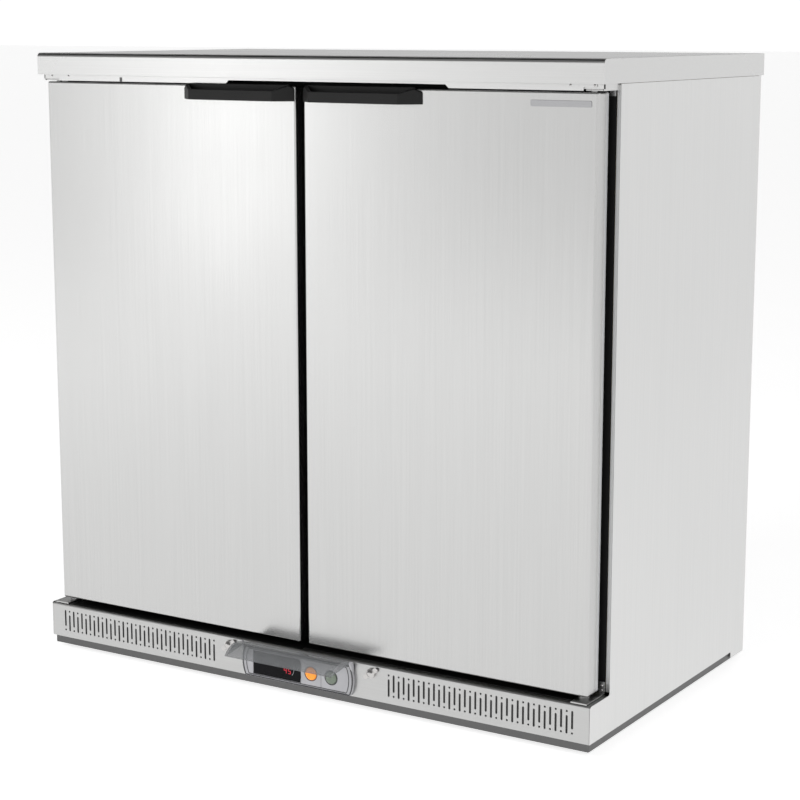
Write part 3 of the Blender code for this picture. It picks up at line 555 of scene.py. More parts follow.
def make_base_panel():
    """Pierced front of the base: columns of a slot and a dot, turned over from one to the next."""
    x, y, z = spans("base_front_panel")
    bend = 2.5 * MM
    wall_top = z[1] - bend
    loops = [rectangle(x, (z[0], wall_top))]
    bezel = spans("control_bezel")
    opening = 8 * MM
    loops.append(rounded((bezel[0][0] + opening + 3 * MM, bezel[0][1] - opening - 3 * MM),
                         (bezel[2][0] + 6 * MM, z[1] - 12 * MM), 2 * MM, 3))
    pitch = (GRILLE_FAR - GRILLE_NEAR) / (GRILLE_COLUMNS - 1)
    half = SLOT_WIDTH / 2
    for _, side in SIDES:
        for i in range(GRILLE_COLUMNS):
            u = side * (GRILLE_NEAR + i * pitch)
            span = around(u, half)
            if i % 2:
                slot_z = (GRILLE_HIGH - SLOT_LENGTH, GRILLE_HIGH)
                dot_z = GRILLE_LOW + half
            else:
                slot_z = (GRILLE_LOW, GRILLE_LOW + SLOT_LENGTH)
                dot_z = GRILLE_HIGH - half
            loops.append(rounded(span, slot_z, half * 0.98, 3))
            loops.append(circle(u, dot_z, half, 10))
    edit = bmesh.new()
    edges = []
    for outline in loops:
        verts = [edit.verts.new((u, y[0], v)) for u, v in outline]
        edges += [edit.edges.new((verts[i - 1], verts[i])) for i in range(len(verts))]
    bmesh.ops.triangle_fill(edit, use_beauty=True, use_dissolve=False, edges=edges)
    for face in edit.faces:
        if face.normal.y > 0:
            face.normal_flip()
    fold = [(y[0], wall_top)]
    fold += arc(y[0] + bend, wall_top, bend, 180, 90, 6)[1:]
    fold += [(y[1], z[1])]
    rows = [[edit.verts.new((u, v, w)) for u in x] for v, w in fold]
    for lower, upper in zip(rows, rows[1:]):
        edit.faces.new((lower[0], lower[1], upper[1], upper[0]))
    bmesh.ops.remove_doubles(edit, verts=edit.verts, dist=0.01 * MM)
    # The base's darker steel is painted shade.
    piece("base_grille", "cabinet", edit, "base_steel", ["base_front_panel"], thick=SHEET)


def make_base_linings():
    """Filter mesh behind the slots, and a black strip along the fold's top that is painted shade for the
    dark gap under the doors.
    """
    _, y, z = spans("base_front_panel")
    # Black strip of painted shade, not a real tape; it starts further back on the right, where the fold's
    # front shows light.
    shade_strip = bmesh.new()
    hinge = spans("bottom_hinge_right")[0][0] - 4 * MM
    for u, start in (((-hinge, 0.0), 5 * MM), ((0.0, hinge), 14 * MM)):
        block(shade_strip, u, (y[0] + start, y[1] - 1 * MM), (z[1] - 0.1 * MM, z[1] + 0.5 * MM))
    piece("fold_painted_shade", "cabinet", shade_strip, "frame_black", edge=0.2 * MM)
    mesh = bmesh.new()
    for _, side in SIDES:
        u = sorted((side * (GRILLE_NEAR - 8 * MM), side * (GRILLE_FAR + 8 * MM)))
        block(mesh, u, (y[0] + 2.2 * MM, y[0] + 3.0 * MM), (GRILLE_LOW - 3 * MM, GRILLE_HIGH + 3 * MM))
    piece("base_filters", "cabinet", mesh, "filter", edge=0.2 * MM)


def make_tray():
    """Folded tray under the cooler, with rounded corners."""
    x, y, z = spans("base_tray")
    edit = bmesh.new()
    prism(edit, "Z", rounded(x, y, 2 * MM, 4), *z)
    hollow = bmesh.new()
    wall = 1.2 * MM
    prism(hollow, "Z", rounded((x[0] + wall, x[1] - wall), (y[0] + wall, y[1] - wall), 1 * MM, 4),
          z[0] + wall, z[1] + 5 * MM)
    edit = combined(edit, hollow, "DIFFERENCE")
    # The tray's dark zinc is painted shade for its place under the cooler.
    piece("tray", "cabinet", edit, "tray_steel", ["base_tray"], 0.5 * MM, 2)


def make_fascia_details():
    dress("top_fascia", "top_steel")
    x, y, z = spans("top_fascia")
    edit = bmesh.new()
    for u in (x[0] + 6 * MM, x[0] + 36 * MM, x[1] - 36 * MM, x[1] - 3 * MM):
        screw_head(edit, "Y", (u, z[0] + 6.8 * MM), y[0], SMALL_HEAD, -1)
    piece("fascia_screws", "cabinet", edit, "chrome")
    # The catch uses the darkened zinc, which is painted shade.
    catch = bmesh.new()
    block(catch, (x[0] + 130 * MM, x[0] + 134 * MM), (y[0] - 0.5 * MM, y[0] + 0.5 * MM),
          (z[0] + 0.3 * MM, z[0] + 6 * MM))
    piece("fascia_catch", "cabinet", catch, "tray_steel", edge=0.2 * MM)


def make_foam_facing():
    """Black facing on the foam behind the fascia, with a steel cap at each end."""
    x, y, z = spans("insulation")
    low = spans("breaker_frame")[2][1]
    facing = bmesh.new()
    block(facing, x, (y[0] - 0.9 * MM, y[0] - 0.1 * MM), (low, z[1]))
    piece("foam_facing", "cabinet", facing, "frame_black", edge=0.2 * MM)
    fascia = spans("top_fascia")
    hinge = spans("top_hinge_right")
    outer = spans("side_panel_right")[0][1] - 3 * MM
    inner = fascia[0][1] - 22 * MM
    front, back = fascia[1][0] + 1.4 * MM, y[0] - 1.2 * MM
    top = spans("worktop")[2][0] + 8 * MM
    for side_name, side in SIDES:
        caps = bmesh.new()
        wing = sorted((side * inner, side * outer))
        block(caps, wing, (front, front + SHEET), (hinge[2][1] + 0.2 * MM, top))
        cheek = sorted((side * (hinge[0][1] + 1.5 * MM), side * outer))
        block(caps, cheek, (front, back), (hinge[2][1] - 1.8 * MM, top))
        piece(f"fascia_cap_{side_name}", "cabinet", caps, "top_steel", edge=0.2 * MM)


def make_hinge_details():
    for side_name, side in SIDES:
        for level in ("top", "bottom"):
            node = f"{level}_hinge_{side_name}"
            # The hinges share the base's darker steel, which is painted shade.
            dress(node, "base_steel")
            x, y, z = spans(node)
            edit = bmesh.new()
            outer = x[1] if side > 0 else x[0]
            if level == "bottom":
                for height in (6 * MM, 12.5 * MM):
                    place = (outer - side * 4.2 * MM, z[0] + height)
                    screw_head(edit, "Y", place, y[1] - 2 * MM, HINGE_HEAD, -1)
            for back in (10 * MM, 20 * MM):
                level_z = z[0] + 2 * MM if level == "bottom" else z[1]
                screw_head(edit, "Z", (outer - side * 14 * MM, y[1] - back), level_z, HINGE_HEAD, 1)
            piece(f"{level}_hinge_screws_{side_name}", "cabinet", edit, "chrome")


def make_body():
    make_worktop()
    for side_name, side in SIDES:
        make_side(side_name, side)
    make_base_panel()
    make_base_linings()
    make_tray()
    make_foam_facing()
    make_fascia_details()
    make_hinge_details()
    dress("insulation", "foam")
    dress("breaker_frame", "frame_black")
    dress("inner_liner", "liner_steel")
    mullion = bmesh.new()
    block(mullion, *spans("centre_mullion"))
    piece("mullion", "cabinet", mullion, "frame_black", ["centre_mullion"], 2 * MM)


# ---------------------------------------------------------------- doors

def make_door(side_name, side):
    body = f"{side_name}_door"
    make_door_skin(body)
    make_door_back(body)
    make_gasket(body)
    make_handle(body, side)


def make_door_skin(body):
    """Pressed pan with rounded front edges."""
    x, y, z = spans(f"{body}_skin")
    edit = bmesh.new()
    block(edit, x, y, z)
    back = [face for face in edit.faces if all(v.co.y > y[1] - 0.1 * MM for v in face.verts)]
    bmesh.ops.delete(edit, geom=back, context="FACES")
    folds = [edge for edge in edit.edges if len(edge.link_faces) == 2]
    bmesh.ops.bevel(edit, geom=folds, offset=DOOR_EDGE, segments=7, affect="EDGES", profile=0.5)
    # The doors' darker steel is painted shade.
    piece(f"{body}_pan", body, edit, "door_steel", [f"{body}_skin"], thick=SHEET, sharp=60)


def make_door_back(body):
    """Foamed inner panel: a flat flange for the gasket and a dished middle."""
    x, y, z = spans(f"{body}_inner_panel")
    slab_front = spans(f"{body}_skin")[1][1] + 0.3 * MM
    gasket = spans(f"{body}_gasket")
    flange = gasket[0][0] - x[0] + 22 * MM
    edit = bmesh.new()
    steps = [(0.0, slab_front), (0.0, y[1] - 1 * MM), (1 * MM, y[1]), (flange, y[1]),
             (flange + 4 * MM, y[1] - 5.5 * MM)]
    rings = []
    for inset, level in steps:
        corners = rounded((x[0] + inset, x[1] - inset), (z[0] + inset, z[1] - inset), 2 * MM + inset / 3, 5)
        rings.append([edit.verts.new((u, level, v)) for u, v in corners])
    loft(edit, rings, closed=False)
    edit.faces.new(list(reversed(rings[0])))
    edit.faces.new(rings[-1])
    piece(f"{body}_back", body, edit, "liner_steel", [f"{body}_inner_panel"])


def make_gasket(body):
    """Bellows gasket with its magnet pocket, mitred at the corners."""
    x, y, z = spans(f"{body}_gasket")
    width = 16 * MM
    deep = y[1] - y[0]
    half = [(0.87, 0.0), (0.87, 0.12), (0.76, 0.20), (0.87, 0.34), (0.76, 0.48), (0.94, 0.58),
            (1.0, 0.68), (1.0, 0.92), (0.95, 1.0)]
    section = [(width * u, y[0] + deep * v) for u, v in half]
    section += [(width * (1 - u), y[0] + deep * v) for u, v in reversed(half)]
    edit = bmesh.new()
    frame_loft(edit, x, z, section)
    piece(f"{body}_seal", body, edit, "gasket", [f"{body}_gasket"], sharp=50)


def make_handle(body, side):
    """Moulded finger pull with slanting ends and an open, ribbed pocket."""
    x, y, z = spans(f"{body}_handle")
    near, far = (x[0], x[1]) if side > 0 else (-x[1], -x[0])
    wall = 3 * MM
    front, back = y
    lip_near, lip_far = near + 21.8 * MM, far - 23 * MM

    def flipped(points):
        return [(side * u, v) for u, v in points]

    shell = bmesh.new()
    outline = [(far, back), (near, back), (near, back - 1.5 * MM), (lip_near, front), (lip_far, front),
               (far, back - 1.5 * MM)]
    prism(shell, "Z", flipped(outline), *z)
    cutter = bmesh.new()
    pocket = [(far - 3 * wall, back - wall), (near + 3 * wall, back - wall), (lip_near + wall, front + wall),
              (lip_far - wall, front + wall)]
    prism(cutter, "Z", flipped(pocket), z[0] + wall, z[1] + 5 * MM)
    shell = combined(shell, cutter, "DIFFERENCE")
    slope = bmesh.new()
    lip_top = z[1] - 8 * MM
    cut = [(front - 5 * MM, lip_top), (front + 1.5 * MM, lip_top), (back - 2 * MM, z[1]),
           (back - 2 * MM, z[1] + 8 * MM), (front - 5 * MM, z[1] + 8 * MM)]
    prism(slope, "X", cut, x[0] - 5 * MM, x[1] + 5 * MM)
    shell = combined(shell, slope, "DIFFERENCE")
    corners = bmesh.new()
    above = z[1] + 1 * MM
    for end, past, reach, drop in ((far, 1 * MM, -13 * MM, 7.5 * MM), (near, -1 * MM, 10 * MM, 6 * MM)):
        outline = [(end + reach, above), (end + past, z[1] - drop), (end + past, above)]
        prism(corners, "Y", flipped(outline), front - 5 * MM, back + 5 * MM)
    shell = combined(shell, corners, "DIFFERENCE")
    piece(f"{body}_pull", body, shell, "black", [f"{body}_handle"], 0.7 * MM, 3)

    ribs = bmesh.new()
    for share in (0.2, 0.8):
        u = side * (lip_near + share * (lip_far - lip_near))
        block(ribs, around(u, 1 * MM), (front + wall - 0.2 * MM, back - wall + 0.2 * MM),
              (z[0] + wall - 0.2 * MM, z[0] + wall + 3.5 * MM))
        disc(ribs, "Z", (u + side * 7 * MM, back - wall - 4 * MM), 2.6 * MM, z[0] + wall - 0.2 * MM,
             z[0] + wall + 2.5 * MM, 20)
    piece(f"{body}_pull_ribs", body, ribs, "black", edge=0.3 * MM)


def make_badge():
    """Blank plate on the right door."""
    x, y, z = spans("right_door_skin")
    edit = bmesh.new()
    outline = rounded((x[1] - 92 * MM, x[1] - 8 * MM), (z[1] - 18.5 * MM, z[1] - 10.5 * MM), 2 * MM)
    prism(edit, "Y", outline, y[0] - 0.9 * MM, y[0] + 0.2 * MM)
    piece("blank_plate", "right_door", edit, "badge", edge=0.3 * MM)


# ---------------------------------------------------------------- interior

def make_shelf(node):
    """Welded wire shelf: a frame and a middle rail that carry close wires."""
    x, y, z = spans(node)
    low, high = z[0] + RAIL, z[1] - WIRE
    edit = bmesh.new()
    for v in (y[0] + RAIL, y[0] + 0.5 * (y[1] - y[0]), y[1] - RAIL):
        tube(edit, [(x[0] + RAIL, v, low), (x[1] - RAIL, v, low)], RAIL, 12)
    for u in (x[0] + RAIL, x[1] - RAIL):
        tube(edit, [(u, y[0] + RAIL, low), (u, y[1] - RAIL, low)], RAIL, 12)
    for i in range(SHELF_WIRES):
        u = x[0] + 9 * MM + i * (x[1] - x[0] - 18 * MM) / (SHELF_WIRES - 1)
        tube(edit, [(u, y[0] + WIRE, low), (u, y[0] + 2 * WIRE, high), (u, y[1] - 2 * WIRE, high),
                    (u, y[1] - WIRE, low)], WIRE, 8)
    piece(node + "_wires", "cabinet", edit, "wire", [node])


def fan_blades(edit, axis, centre, hub, radius, level):
    """Adds swept, twisted blades round a hub; level is the fan's (low, high) along its axis."""
    middle, depth = mid(level), (level[1] - level[0]) * 0.42
    for blade in range(FAN_BLADES):
        start = 2 * math.pi * blade / FAN_BLADES
        rings = []
        for i in range(7):
            share = i / 6
            r = hub * 0.9 + (radius - hub * 0.9) * share
            ring = []
            for skin, columns in ((-1, range(6)), (1, range(5, -1, -1))):
                for j in columns:
                    chord = j / 5 - 0.5
                    angle = start + chord * (1.05 - 0.25 * share) + 0.22 * share
                    height = middle - 2 * chord * depth * (1 - 0.3 * share) + skin * 0.5 * MM
                    u = centre[0] + r * math.cos(angle)
                    v = centre[1] + r * math.sin(angle)
                    ring.append(edit.verts.new(on_axis(axis, height, u, v)))
            rings.append(ring)
        loft(edit, rings, closed=False)
        for ring in (rings[0], rings[-1]):
            for j in range(5):
                edit.faces.new((ring[j], ring[j + 1], ring[10 - j], ring[11 - j]))


def make_fan(node, axis, hub):
    x, y, z = spans(node)
    place = pivot_of(node)
    radius = (z[1] - place.z) * 0.97
    centre, level = ((place.x, place.z), y) if axis == "Y" else ((place.y, place.z), x)
    edit = bmesh.new()
    low, high = level
    lathe(edit, axis, centre, [(hub * 0.8, low), (hub, low + 2 * MM), (hub, high - 2 * MM),
                               (hub * 0.8, high)])
    fan_blades(edit, axis, centre, hub, radius, level)
    piece(node + "_rotor", node, edit, "black", [node])


def make_coil(node, look, axis, pitch):
    """Finned coil: thin plates stacked along an axis, with tubes and their return bends."""
    box = list(spans(node))
    low, high = box.pop("XYZ".index(axis))
    bend = 9 * MM
    edit = bmesh.new()
    count = int((high - low - 2 * bend) / pitch)
    for i in range(count + 1):
        level = low + bend + i * (high - low - 2 * bend) / count
        prism(edit, axis, rectangle(*box), *around(level, 0.12 * MM))
    piece(node + "_fins", "cabinet", edit, look, [node])
    pipes = bmesh.new()
    across, (v0, v1) = box
    bore = 3 * MM
    rows = max(2, int((v1 - v0) / (22 * MM)))
    step = (v1 - v0) / rows
    ends = (low + 5 * MM, high - 5 * MM)
    for i in range(rows):
        v = v0 + step * (i + 0.5)
        tube(pipes, [on_axis(axis, end, mid(across), v) for end in ends], bore, 10)
        if i < rows - 1:
            end = ends[1 - i % 2]
            out = 3.5 * MM if i % 2 == 0 else -3.5 * MM
            path = [on_axis(axis, end + out * math.sin(math.pi * k / 6) * 0.4, mid(across),
                            v + step * (1 - math.cos(math.pi * k / 6)) / 2) for k in range(7)]
            tube(pipes, path, bore, 10)
    piece(node + "_tubes", "cabinet", pipes, "copper")


def make_evaporator():
    dress("evaporator_cover", "liner_steel")
    dress("evaporator_fan_motor", "black_paint")
    make_coil("evaporator_coil", "fins", "X", 5 * MM)
    make_fan("evaporator_fan", "Y", 15 * MM)
    x, y, z = spans("evaporator_cover")
    hub = pivot_of("evaporator_fan")
    guard = bmesh.new()
    level = y[0] - 1.2 * MM
    for ring in range(7):
        hoop(guard, "Y", level, (hub.x, hub.z), (10 + 9 * ring) * MM, 0.9 * MM)
    for spoke in range(6):
        angle = math.radians(60 * spoke + 30)
        path = [(hub.x + reach * math.cos(angle), v, hub.z + reach * math.sin(angle))
                for reach, v in ((10 * MM, level), (64 * MM, level), (64 * MM, y[0] + 0.5 * MM))]
        tube(guard, path, 1.1 * MM)
    piece("evaporator_guard", "cabinet", guard, "wire")
    screws = bmesh.new()
    for u in (x[0] + 10 * MM, x[1] - 10 * MM):
        for v in (z[0] + 10 * MM, z[1] - 10 * MM):
            screw_head(screws, "Y", (u, v), y[0], PANEL_HEAD, -1)
    piece("evaporator_screws", "cabinet", screws, "chrome")


def make_compressor():
    """Welded steel shell on a bracket, with its terminal cover."""
    x, y, z = spans("compressor")
    centre = (mid(x), mid(y))
    radius = (x[1] - x[0]) / 2
    tall = z[1] - z[0]
    profile = [(0.55, 0.0), (0.62, 0.02), (0.64, 0.10), (0.86, 0.13), (0.95, 0.20), (0.985, 0.30),
               (0.985, 0.50), (1.0, 0.505), (1.0, 0.53), (0.985, 0.535), (0.97, 0.68), (0.90, 0.80),
               (0.76, 0.90), (0.55, 0.96), (0.28, 0.99), (0.02, 1.0)]
    edit = bmesh.new()
    lathe(edit, "Z", centre, [(radius * r, z[0] + tall * h) for r, h in profile], 64)
    block(edit, around(centre[0] - radius * 0.55, 22 * MM), (y[0] + 2 * MM, centre[1] - radius * 0.55),
          (z[0] + tall * 0.42, z[0] + tall * 0.72))
    piece("compressor_shell", "cabinet", edit, "black_paint", ["compressor"], sharp=50)


def make_inlet():
    """Mains inlet: a recessed socket with three flat pins."""
    x, y, z = spans("power_inlet")
    edit = bmesh.new()
    prism(edit, "Y", rounded(x, z, 3 * MM), *y)
    recess = bmesh.new()
    inset = 4.5 * MM
    prism(recess, "Y", rounded((x[0] + inset, x[1] - inset), (z[0] + inset, z[1] - inset), 4 * MM),
          y[0] + 0.8 * MM, y[1] + 2 * MM)
    edit = combined(edit, recess, "DIFFERENCE")
    piece("inlet_housing", "cabinet", edit, "black", ["power_inlet"], 0.3 * MM)
    pins = bmesh.new()
    for u, v in ((-7 * MM, 2 * MM), (0.0, -3 * MM), (7 * MM, 2 * MM)):
        block(pins, around(mid(x) + u, 1 * MM), (y[0] + 0.5 * MM, y[1] - 0.3 * MM),
              around(mid(z) + v, 2 * MM))
    piece("inlet_pins", "cabinet", pins, "chrome")


def make_back():
    dress("rear_panel", "zinc")
    x, y, z = spans("rear_panel")
    edit = bmesh.new()
    for u in (x[0] + 8 * MM, x[0] + 230 * MM, x[1] - 230 * MM, x[1] - 8 * MM):
        for v in (z[0] + 8 * MM, mid(z), z[1] - 8 * MM):
            screw_head(edit, "Y", (u, v), y[1], PANEL_HEAD, 1)
    piece("rear_screws", "cabinet", edit, "chrome")


def make_foot(node):
    """Levelling foot: a round pad, a hexagon and a threaded stud."""
    x, y, z = spans(node)
    centre = (mid(x), mid(y))
    radius = (x[1] - x[0]) / 2
    edit = bmesh.new()
    lathe(edit, "Z", centre, [(0.9 * radius, z[0]), (radius, z[0] + 0.8 * MM), (radius, z[0] + 2.6 * MM),
                              (0.9 * radius, z[0] + 3.5 * MM), (0.5 * radius, z[0] + 4 * MM)], 48)
    disc(edit, "Z", centre, 8.6 * MM, z[0] + 3.8 * MM, z[0] + 6.6 * MM, 6)
    thread = [(4.6 * MM, z[0] + 6.4 * MM)]
    turns = 9
    for i in range(turns):
        level = z[0] + 7 * MM + i * (z[1] - z[0] - 8 * MM) / turns
        thread += [(5.0 * MM, level), (4.4 * MM, level + 1 * MM)]
    thread.append((3.6 * MM, z[1]))
    lathe(edit, "Z", centre, thread, 24)
    piece(node + "_levelled", node, edit, "black_paint", [node], sharp=30)


def make_interior():
    for side_name, _ in SIDES:
        make_shelf(f"shelf_{side_name}_lower")
        make_shelf(f"shelf_{side_name}_upper")
    for place in ("left", "right", "centre"):
        dress(f"pilaster_{place}_front", "zinc")
        dress(f"pilaster_{place}_rear", "zinc")
    dress("condenser_shroud", "zinc")
    dress("condensate_pan", "black")
    dress("condenser_fan_motor", "black_paint")
    for node in ("suction_line", "liquid_line", "discharge_line", "filter_drier"):
        dress(node, "copper", 0.2 * MM)
    make_evaporator()
    make_coil("condenser_coil", "fins", "Y", 4 * MM)
    make_fan("condenser_fan", "X", 18 * MM)
    make_compressor()
    x, y, z = spans("interior_light")
    light = bmesh.new()
    prism(light, "X", rounded(y, z, 4 * MM), *x)
    piece("light_diffuser", "cabinet", light, "lamp", ["interior_light"])


# ---------------------------------------------------------------- control unit

def make_bezel():
    """Bowed bezel with a smoked rim, the two button cells and the flap's ears."""
    x, y, z = spans("control_bezel")
    controller = spans("controller")
    flap = spans("control_flap")
    low, high = z[0], z[0] + BEZEL_TALL
    face = y[0] + BEZEL_SETBACK
    back = spans("base_front_panel")[1][0] - 0.3 * MM
    edit = bmesh.new()
    prism(edit, "Y", bulged(x[1], low, high, 5 * MM), face, back)
    hollow = bmesh.new()
    gap = 0.3 * MM
    display = (controller[0][0] - gap, controller[0][1] + gap)
    block(hollow, display, (face - 2 * MM, face + 2.5 * MM), (low + 4 * MM, high - 5 * MM))
    edit = combined(edit, hollow, "DIFFERENCE")
    grooves = bmesh.new()
    for node in ("light_button", "power_button"):
        button = spans(node)
        disc(grooves, "Y", (mid(button[0]), mid(button[2])), 9.4 * MM, face - 2 * MM, back + 2 * MM, 40)
    seam = mid((spans("light_button")[0][1], spans("power_button")[0][0]))
    block(grooves, around(seam, 0.4 * MM), (face - 1 * MM, face + 0.8 * MM), (low + 3 * MM, high - 3 * MM))
    edit = combined(edit, grooves, "DIFFERENCE")
    piece("bezel_plate", "cabinet", edit, "grey", ["control_bezel"], 0.35 * MM, 2)

    ears = bmesh.new()
    pivot = pivot_of("control_flap")
    ear_low = face + 0.5 * MM
    for _, side in SIDES:
        inner, outer = side * (flap[0][1] - 2.5 * MM), side * (flap[0][1] + 0.2 * MM)
        outline = arc(pivot.y, pivot.z, 3.2 * MM, 180, 40, 8)
        outline += [(ear_low + 3 * MM, high), (ear_low + 3 * MM, high - 8 * MM), (ear_low, high - 8 * MM)]
        prism(ears, "X", outline, *sorted((inner, outer)))
    block(ears, (x[0] + 12 * MM, x[1] - 12 * MM), (back - 1 * MM, back + 4 * MM),
          (low + 7 * MM, high - 7 * MM))
    piece("bezel_ears", "cabinet", ears, "grey", edge=0.3 * MM)

    rim = bmesh.new()
    outline = bulged(x[1] - 0.6 * MM, low + 0.8 * MM, high - 0.8 * MM, 4.8 * MM)
    tube(rim, [(u, face - 0.2 * MM, v) for u, v in outline], 1.0 * MM, 10, True)
    inner = bulged(x[1] - 6.5 * MM, low + 3.2 * MM, high - 3.2 * MM, 4 * MM)
    tube(rim, [(u, face - 0.1 * MM, v) for u, v in inner], 0.6 * MM, 10, True)
    piece("bezel_rim", "cabinet", rim, "rim")


def segment_digit(edit, left, low, width, tall, lit, level):
    """Adds one seven-segment figure; lit names its bars."""
    bar = 0.9 * MM
    middle = low + tall / 2
    right, high = left + width, low + tall
    gap = 0.15 * MM
    places = {
        "top": ((left, right), (high - bar, high)),
        "centre": ((left, right), around(middle, bar / 2)),
        "bottom": ((left, right), (low, low + bar)),
        "upper_left": ((left, left + bar), (middle, high)),
        "upper_right": ((right - bar, right), (middle, high)),
        "lower_right": ((right - bar, right), (low, middle)),
    }
    for name in lit:
        u, v = places[name]
        block(edit, (u[0] + gap, u[1] - gap), (level - 0.25 * MM, level + 0.1 * MM),
              (v[0] + gap, v[1] - gap))


def make_controller():
    """Glossy window with a bowed right end and a small red read-out."""
    x, y, z = spans("controller")
    outline = bow(x[1], z[0], z[1], 3 * MM, 12) + [(x[0], z[1]), (x[0], z[0])]
    edit = bmesh.new()
    prism(edit, "Y", outline, y[0], y[0] + 1.4 * MM)
    block(edit, (x[0] + 2 * MM, x[1] - 2 * MM), (y[0] + 1 * MM, y[1]), (z[0] + 6 * MM, z[1] - 5 * MM))
    piece("display_window", "cabinet", edit, "display", ["controller"], 0.4 * MM)

    digits = bmesh.new()
    low = z[0] + 9 * MM
    segment_digit(digits, x[1] - 29 * MM, low, 4.5 * MM, 8.5 * MM,
                  ("upper_left", "upper_right", "centre", "lower_right"), y[0])
    segment_digit(digits, x[1] - 22 * MM, low, 4.5 * MM, 8.5 * MM,
                  ("top", "upper_left", "centre", "lower_right", "bottom"), y[0])
    piece("display_figures", "cabinet", digits, "red")
    dial = bmesh.new()
    path = arc(x[1] - 25 * MM, mid(z), 13 * MM, -42, 42, 12)
    tube(dial, [(u, y[0] - 0.05 * MM, v) for u, v in path], 0.3 * MM, 6)
    piece("display_arc", "cabinet", dial, "grey")


def make_button(node, look):
    x, y, z = spans(node)
    centre = (mid(x), mid(z))
    radius = (x[1] - x[0]) / 2
    edit = bmesh.new()
    profile = [(0.0, y[0]), (0.55 * radius, y[0] + 0.05 * MM), (0.85 * radius, y[0] + 0.3 * MM),
               (0.96 * radius, y[0] + 0.9 * MM), (radius, y[0] + 2 * MM), (radius, y[0] + 15 * MM),
               (4 * MM, y[0] + 15.2 * MM), (4 * MM, y[1])]
    lathe(edit, "Y", centre, profile, 48)
    piece(node + "_cap", node, edit, look, [node], sharp=50)
    face = spans("control_bezel")[1][0] + BEZEL_SETBACK
    ring = bmesh.new()
    hoop(ring, "Y", face, centre, radius + 1.1 * MM, 0.6 * MM)
    piece(node + "_ring", "cabinet", ring, "rim")


def flap_section(pivot, chord, inset, open_by):
    """The flap's bowed section in y and z: an arc over a chord from the pivot."""
    half = chord / 2
    radius = (half ** 2 + FLAP_RISE ** 2) / (2 * FLAP_RISE)
    centre = FLAP_RISE - radius
    inner = radius - inset
    reach = math.degrees(math.acos(-centre / inner))
    points = arc(half, centre, inner, 90 + reach, 90 - reach, 24)
    if open_by:
        points += [(points[-1][0], -open_by), (points[0][0], -open_by)]
    placed = []
    for along, up in points:
        placed.append((pivot.y - along * math.cos(FLAP_DROP) - up * math.sin(FLAP_DROP),
                       pivot.z - along * math.sin(FLAP_DROP) + up * math.cos(FLAP_DROP)))
    return placed


def make_flap():
    """Smoked trough with closed ends, a rolled hinge edge and a finger lip."""
    x, y, _ = spans("control_flap")
    pivot = pivot_of("control_flap")
    chord = (pivot.y - y[0]) / math.cos(FLAP_DROP)
    half = x[1] - FLAP_END
    shell = bmesh.new()
    prism(shell, "X", flap_section(pivot, chord, 0.0, 0.0), -half, half)
    hollow = bmesh.new()
    prism(hollow, "X", flap_section(pivot, chord, FLAP_SHEET, 6 * MM), -half + FLAP_SHEET, half - FLAP_SHEET)
    shell = combined(shell, hollow, "DIFFERENCE")
    barrel = bmesh.new()
    disc(barrel, "X", (pivot.y, pivot.z), 2.6 * MM, -half + 0.3 * MM, half - 0.3 * MM, 24)
    shell = combined(shell, barrel, "UNION")
    pins = bmesh.new()
    disc(pins, "X", (pivot.y, pivot.z), 1.4 * MM, x[0], x[1], 16)
    shell = combined(shell, pins, "UNION")
    piece("flap_shell", "control_flap", shell, "flap", ["control_flap"], sharp=30)
    lip = bmesh.new()
    tip_z = pivot.z - chord * math.sin(FLAP_DROP)
    for _, side in SIDES:
        block(lip, around(side * 12 * MM, 9 * MM), (y[0] + 0.4 * MM, y[0] + 1.6 * MM),
              (tip_z - 0.2 * MM, tip_z + 0.9 * MM))
    piece("flap_lip", "control_flap", lip, "rim", edge=0.2 * MM)


def make_wing_screw(node):
    """Domed screw with two slim wings."""
    x, y, z = spans(node)
    centre = (mid(x), mid(z))
    front = y[0]
    edit = bmesh.new()
    lathe(edit, "Y", centre, [(0.0, front), (2.4 * MM, front + 0.3 * MM), (4.2 * MM, front + 1.3 * MM),
                              (5.0 * MM, front + 2.6 * MM), (5.2 * MM, front + 2.7 * MM),
                              (6.5 * MM, front + 3.2 * MM), (6.5 * MM, front + 6.5 * MM)], 48)
    lathe(edit, "Y", centre, [(2.5 * MM, front + 6 * MM), (2.5 * MM, y[1])], 24)
    lean = Matrix.Rotation(math.radians(35), 2)
    wing = []
    for u, v in rounded((-13 * MM, 13 * MM), (-3.2 * MM, 3.2 * MM), 2.8 * MM, 6):
        turned = lean @ Vector((u, v))
        wing.append((centre[0] + turned.x, centre[1] + turned.y))
    prism(edit, "Y", wing, front + 3.4 * MM, front + 5.6 * MM)
    piece(node + "_knob", node, edit, "chrome", [node], sharp=40)


def make_control():
    make_bezel()
    make_controller()
    make_button("light_button", "orange")
    make_button("power_button", "green")
    make_flap()
    for side_name, _ in SIDES:
        make_wing_screw("wing_screw_" + side_name)


# ---------------------------------------------------------------- studio

def make_floor():
    """A wide pale floor that stays bright, so steel has a light room to reflect."""
    edit = bmesh.new()
    bmesh.ops.create_grid(edit, x_segments=1, y_segments=1, size=60.0)
    floor = placed("floor", edit)
    paint = Paint("floor_paper", (0.86, 0.86, 0.86), 0.9)
    paint.set(Emission_Color=(1.0, 1.0, 1.0, 1.0), Emission_Strength=0.73)
    paint.vary_colour(paint.noise(3.0), 0.01)
    floor.data.materials.append(paint.material)


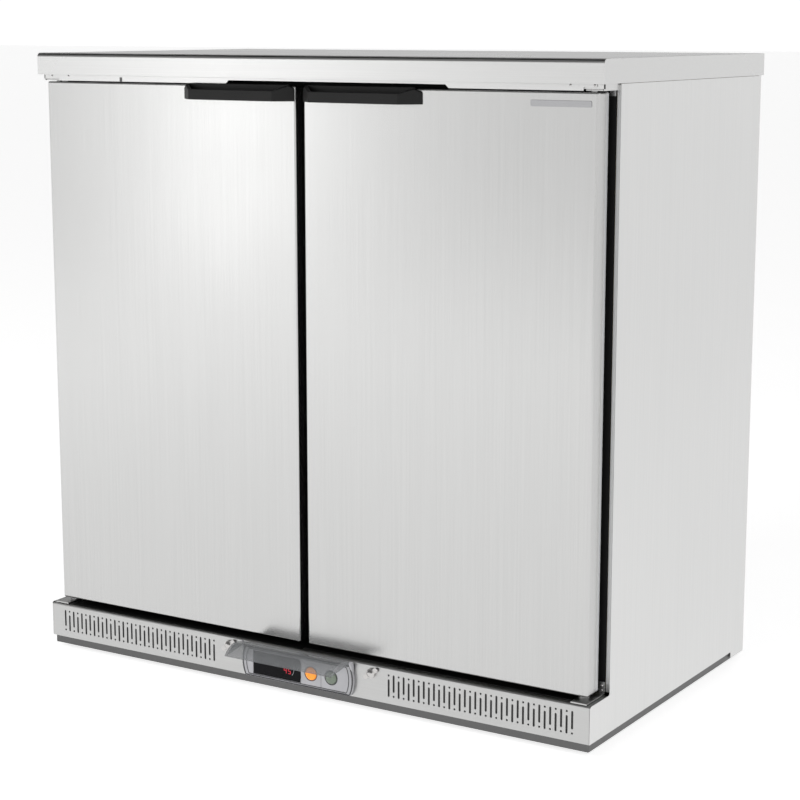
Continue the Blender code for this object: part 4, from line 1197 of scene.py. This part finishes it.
def make_world():
    """Bright at the horizon and dimmer overhead, as a studio with light walls and a dark ceiling."""
    world = bpy.data.worlds.new("studio")
    bpy.context.scene.world = world
    world.use_nodes = True
    tree = world.node_tree
    coords = tree.nodes.new("ShaderNodeTexCoord")
    split = tree.nodes.new("ShaderNodeSeparateXYZ")
    ramp = tree.nodes.new("ShaderNodeValToRGB")
    tree.links.new(coords.outputs["Generated"], split.inputs["Vector"])
    tree.links.new(split.outputs["Z"], ramp.inputs["Fac"])
    tree.links.new(ramp.outputs["Color"], tree.nodes["Background"].inputs["Color"])
    stops = ramp.color_ramp.elements
    stops[0].position, stops[0].color = 0.14, (1.0, 1.0, 1.0, 1.0)
    stops[1].position, stops[1].color = 0.34, (0.17, 0.17, 0.17, 1.0)
    tree.nodes["Background"].inputs["Strength"].default_value = 1.05


def stand(name, data, place, aim):
    """Puts a light or a camera at a place and turns it to its aim."""
    made = bpy.data.objects.new(name, data)
    bpy.context.scene.collection.objects.link(made)
    made.location = place
    made.rotation_euler = (Vector(aim) - Vector(place)).to_track_quat("-Z", "Y").to_euler()
    return made


def area_light(name, place, aim, size, power, glossy=True):
    light = bpy.data.lights.new(name, "AREA")
    light.shape = "RECTANGLE"
    light.size, light.size_y = size
    light.energy = power
    stand(name, light, place, aim).visible_glossy = glossy


def make_camera():
    lens = bpy.data.cameras.new("camera")
    camera = stand("camera", lens, (1.5386, -2.4268, 0.9228), (-0.0014, 0.0380, 0.3786))
    camera.data.sensor_width = 36.0
    camera.data.lens = 90.8
    bpy.context.scene.camera = camera


def make_studio():
    make_floor()
    make_world()
    area_light("key", (-2.6, -3.4, 2.6), (0, 0, 0.3), (2.4, 2.4), 60, False)
    area_light("fill", (3.0, -1.6, 2.2), (0, 0, 0.4), (2.0, 2.0), 25, False)
    area_light("strip", (-3.35, -4.6, 0.7), (0, 0, 0.45), (0.5, 1.4), 4.4)
    make_camera()
    bpy.context.scene.view_settings.view_transform = "Standard"


def main():
    make_studio()
    make_body()
    for side_name, side in SIDES:
        make_door(side_name, side)
    make_badge()
    make_interior()
    make_back()
    for end in ("front", "rear"):
        for side_name, _ in SIDES:
            make_foot(f"foot_{end}_{side_name}")
    make_inlet()
    make_control()


main()
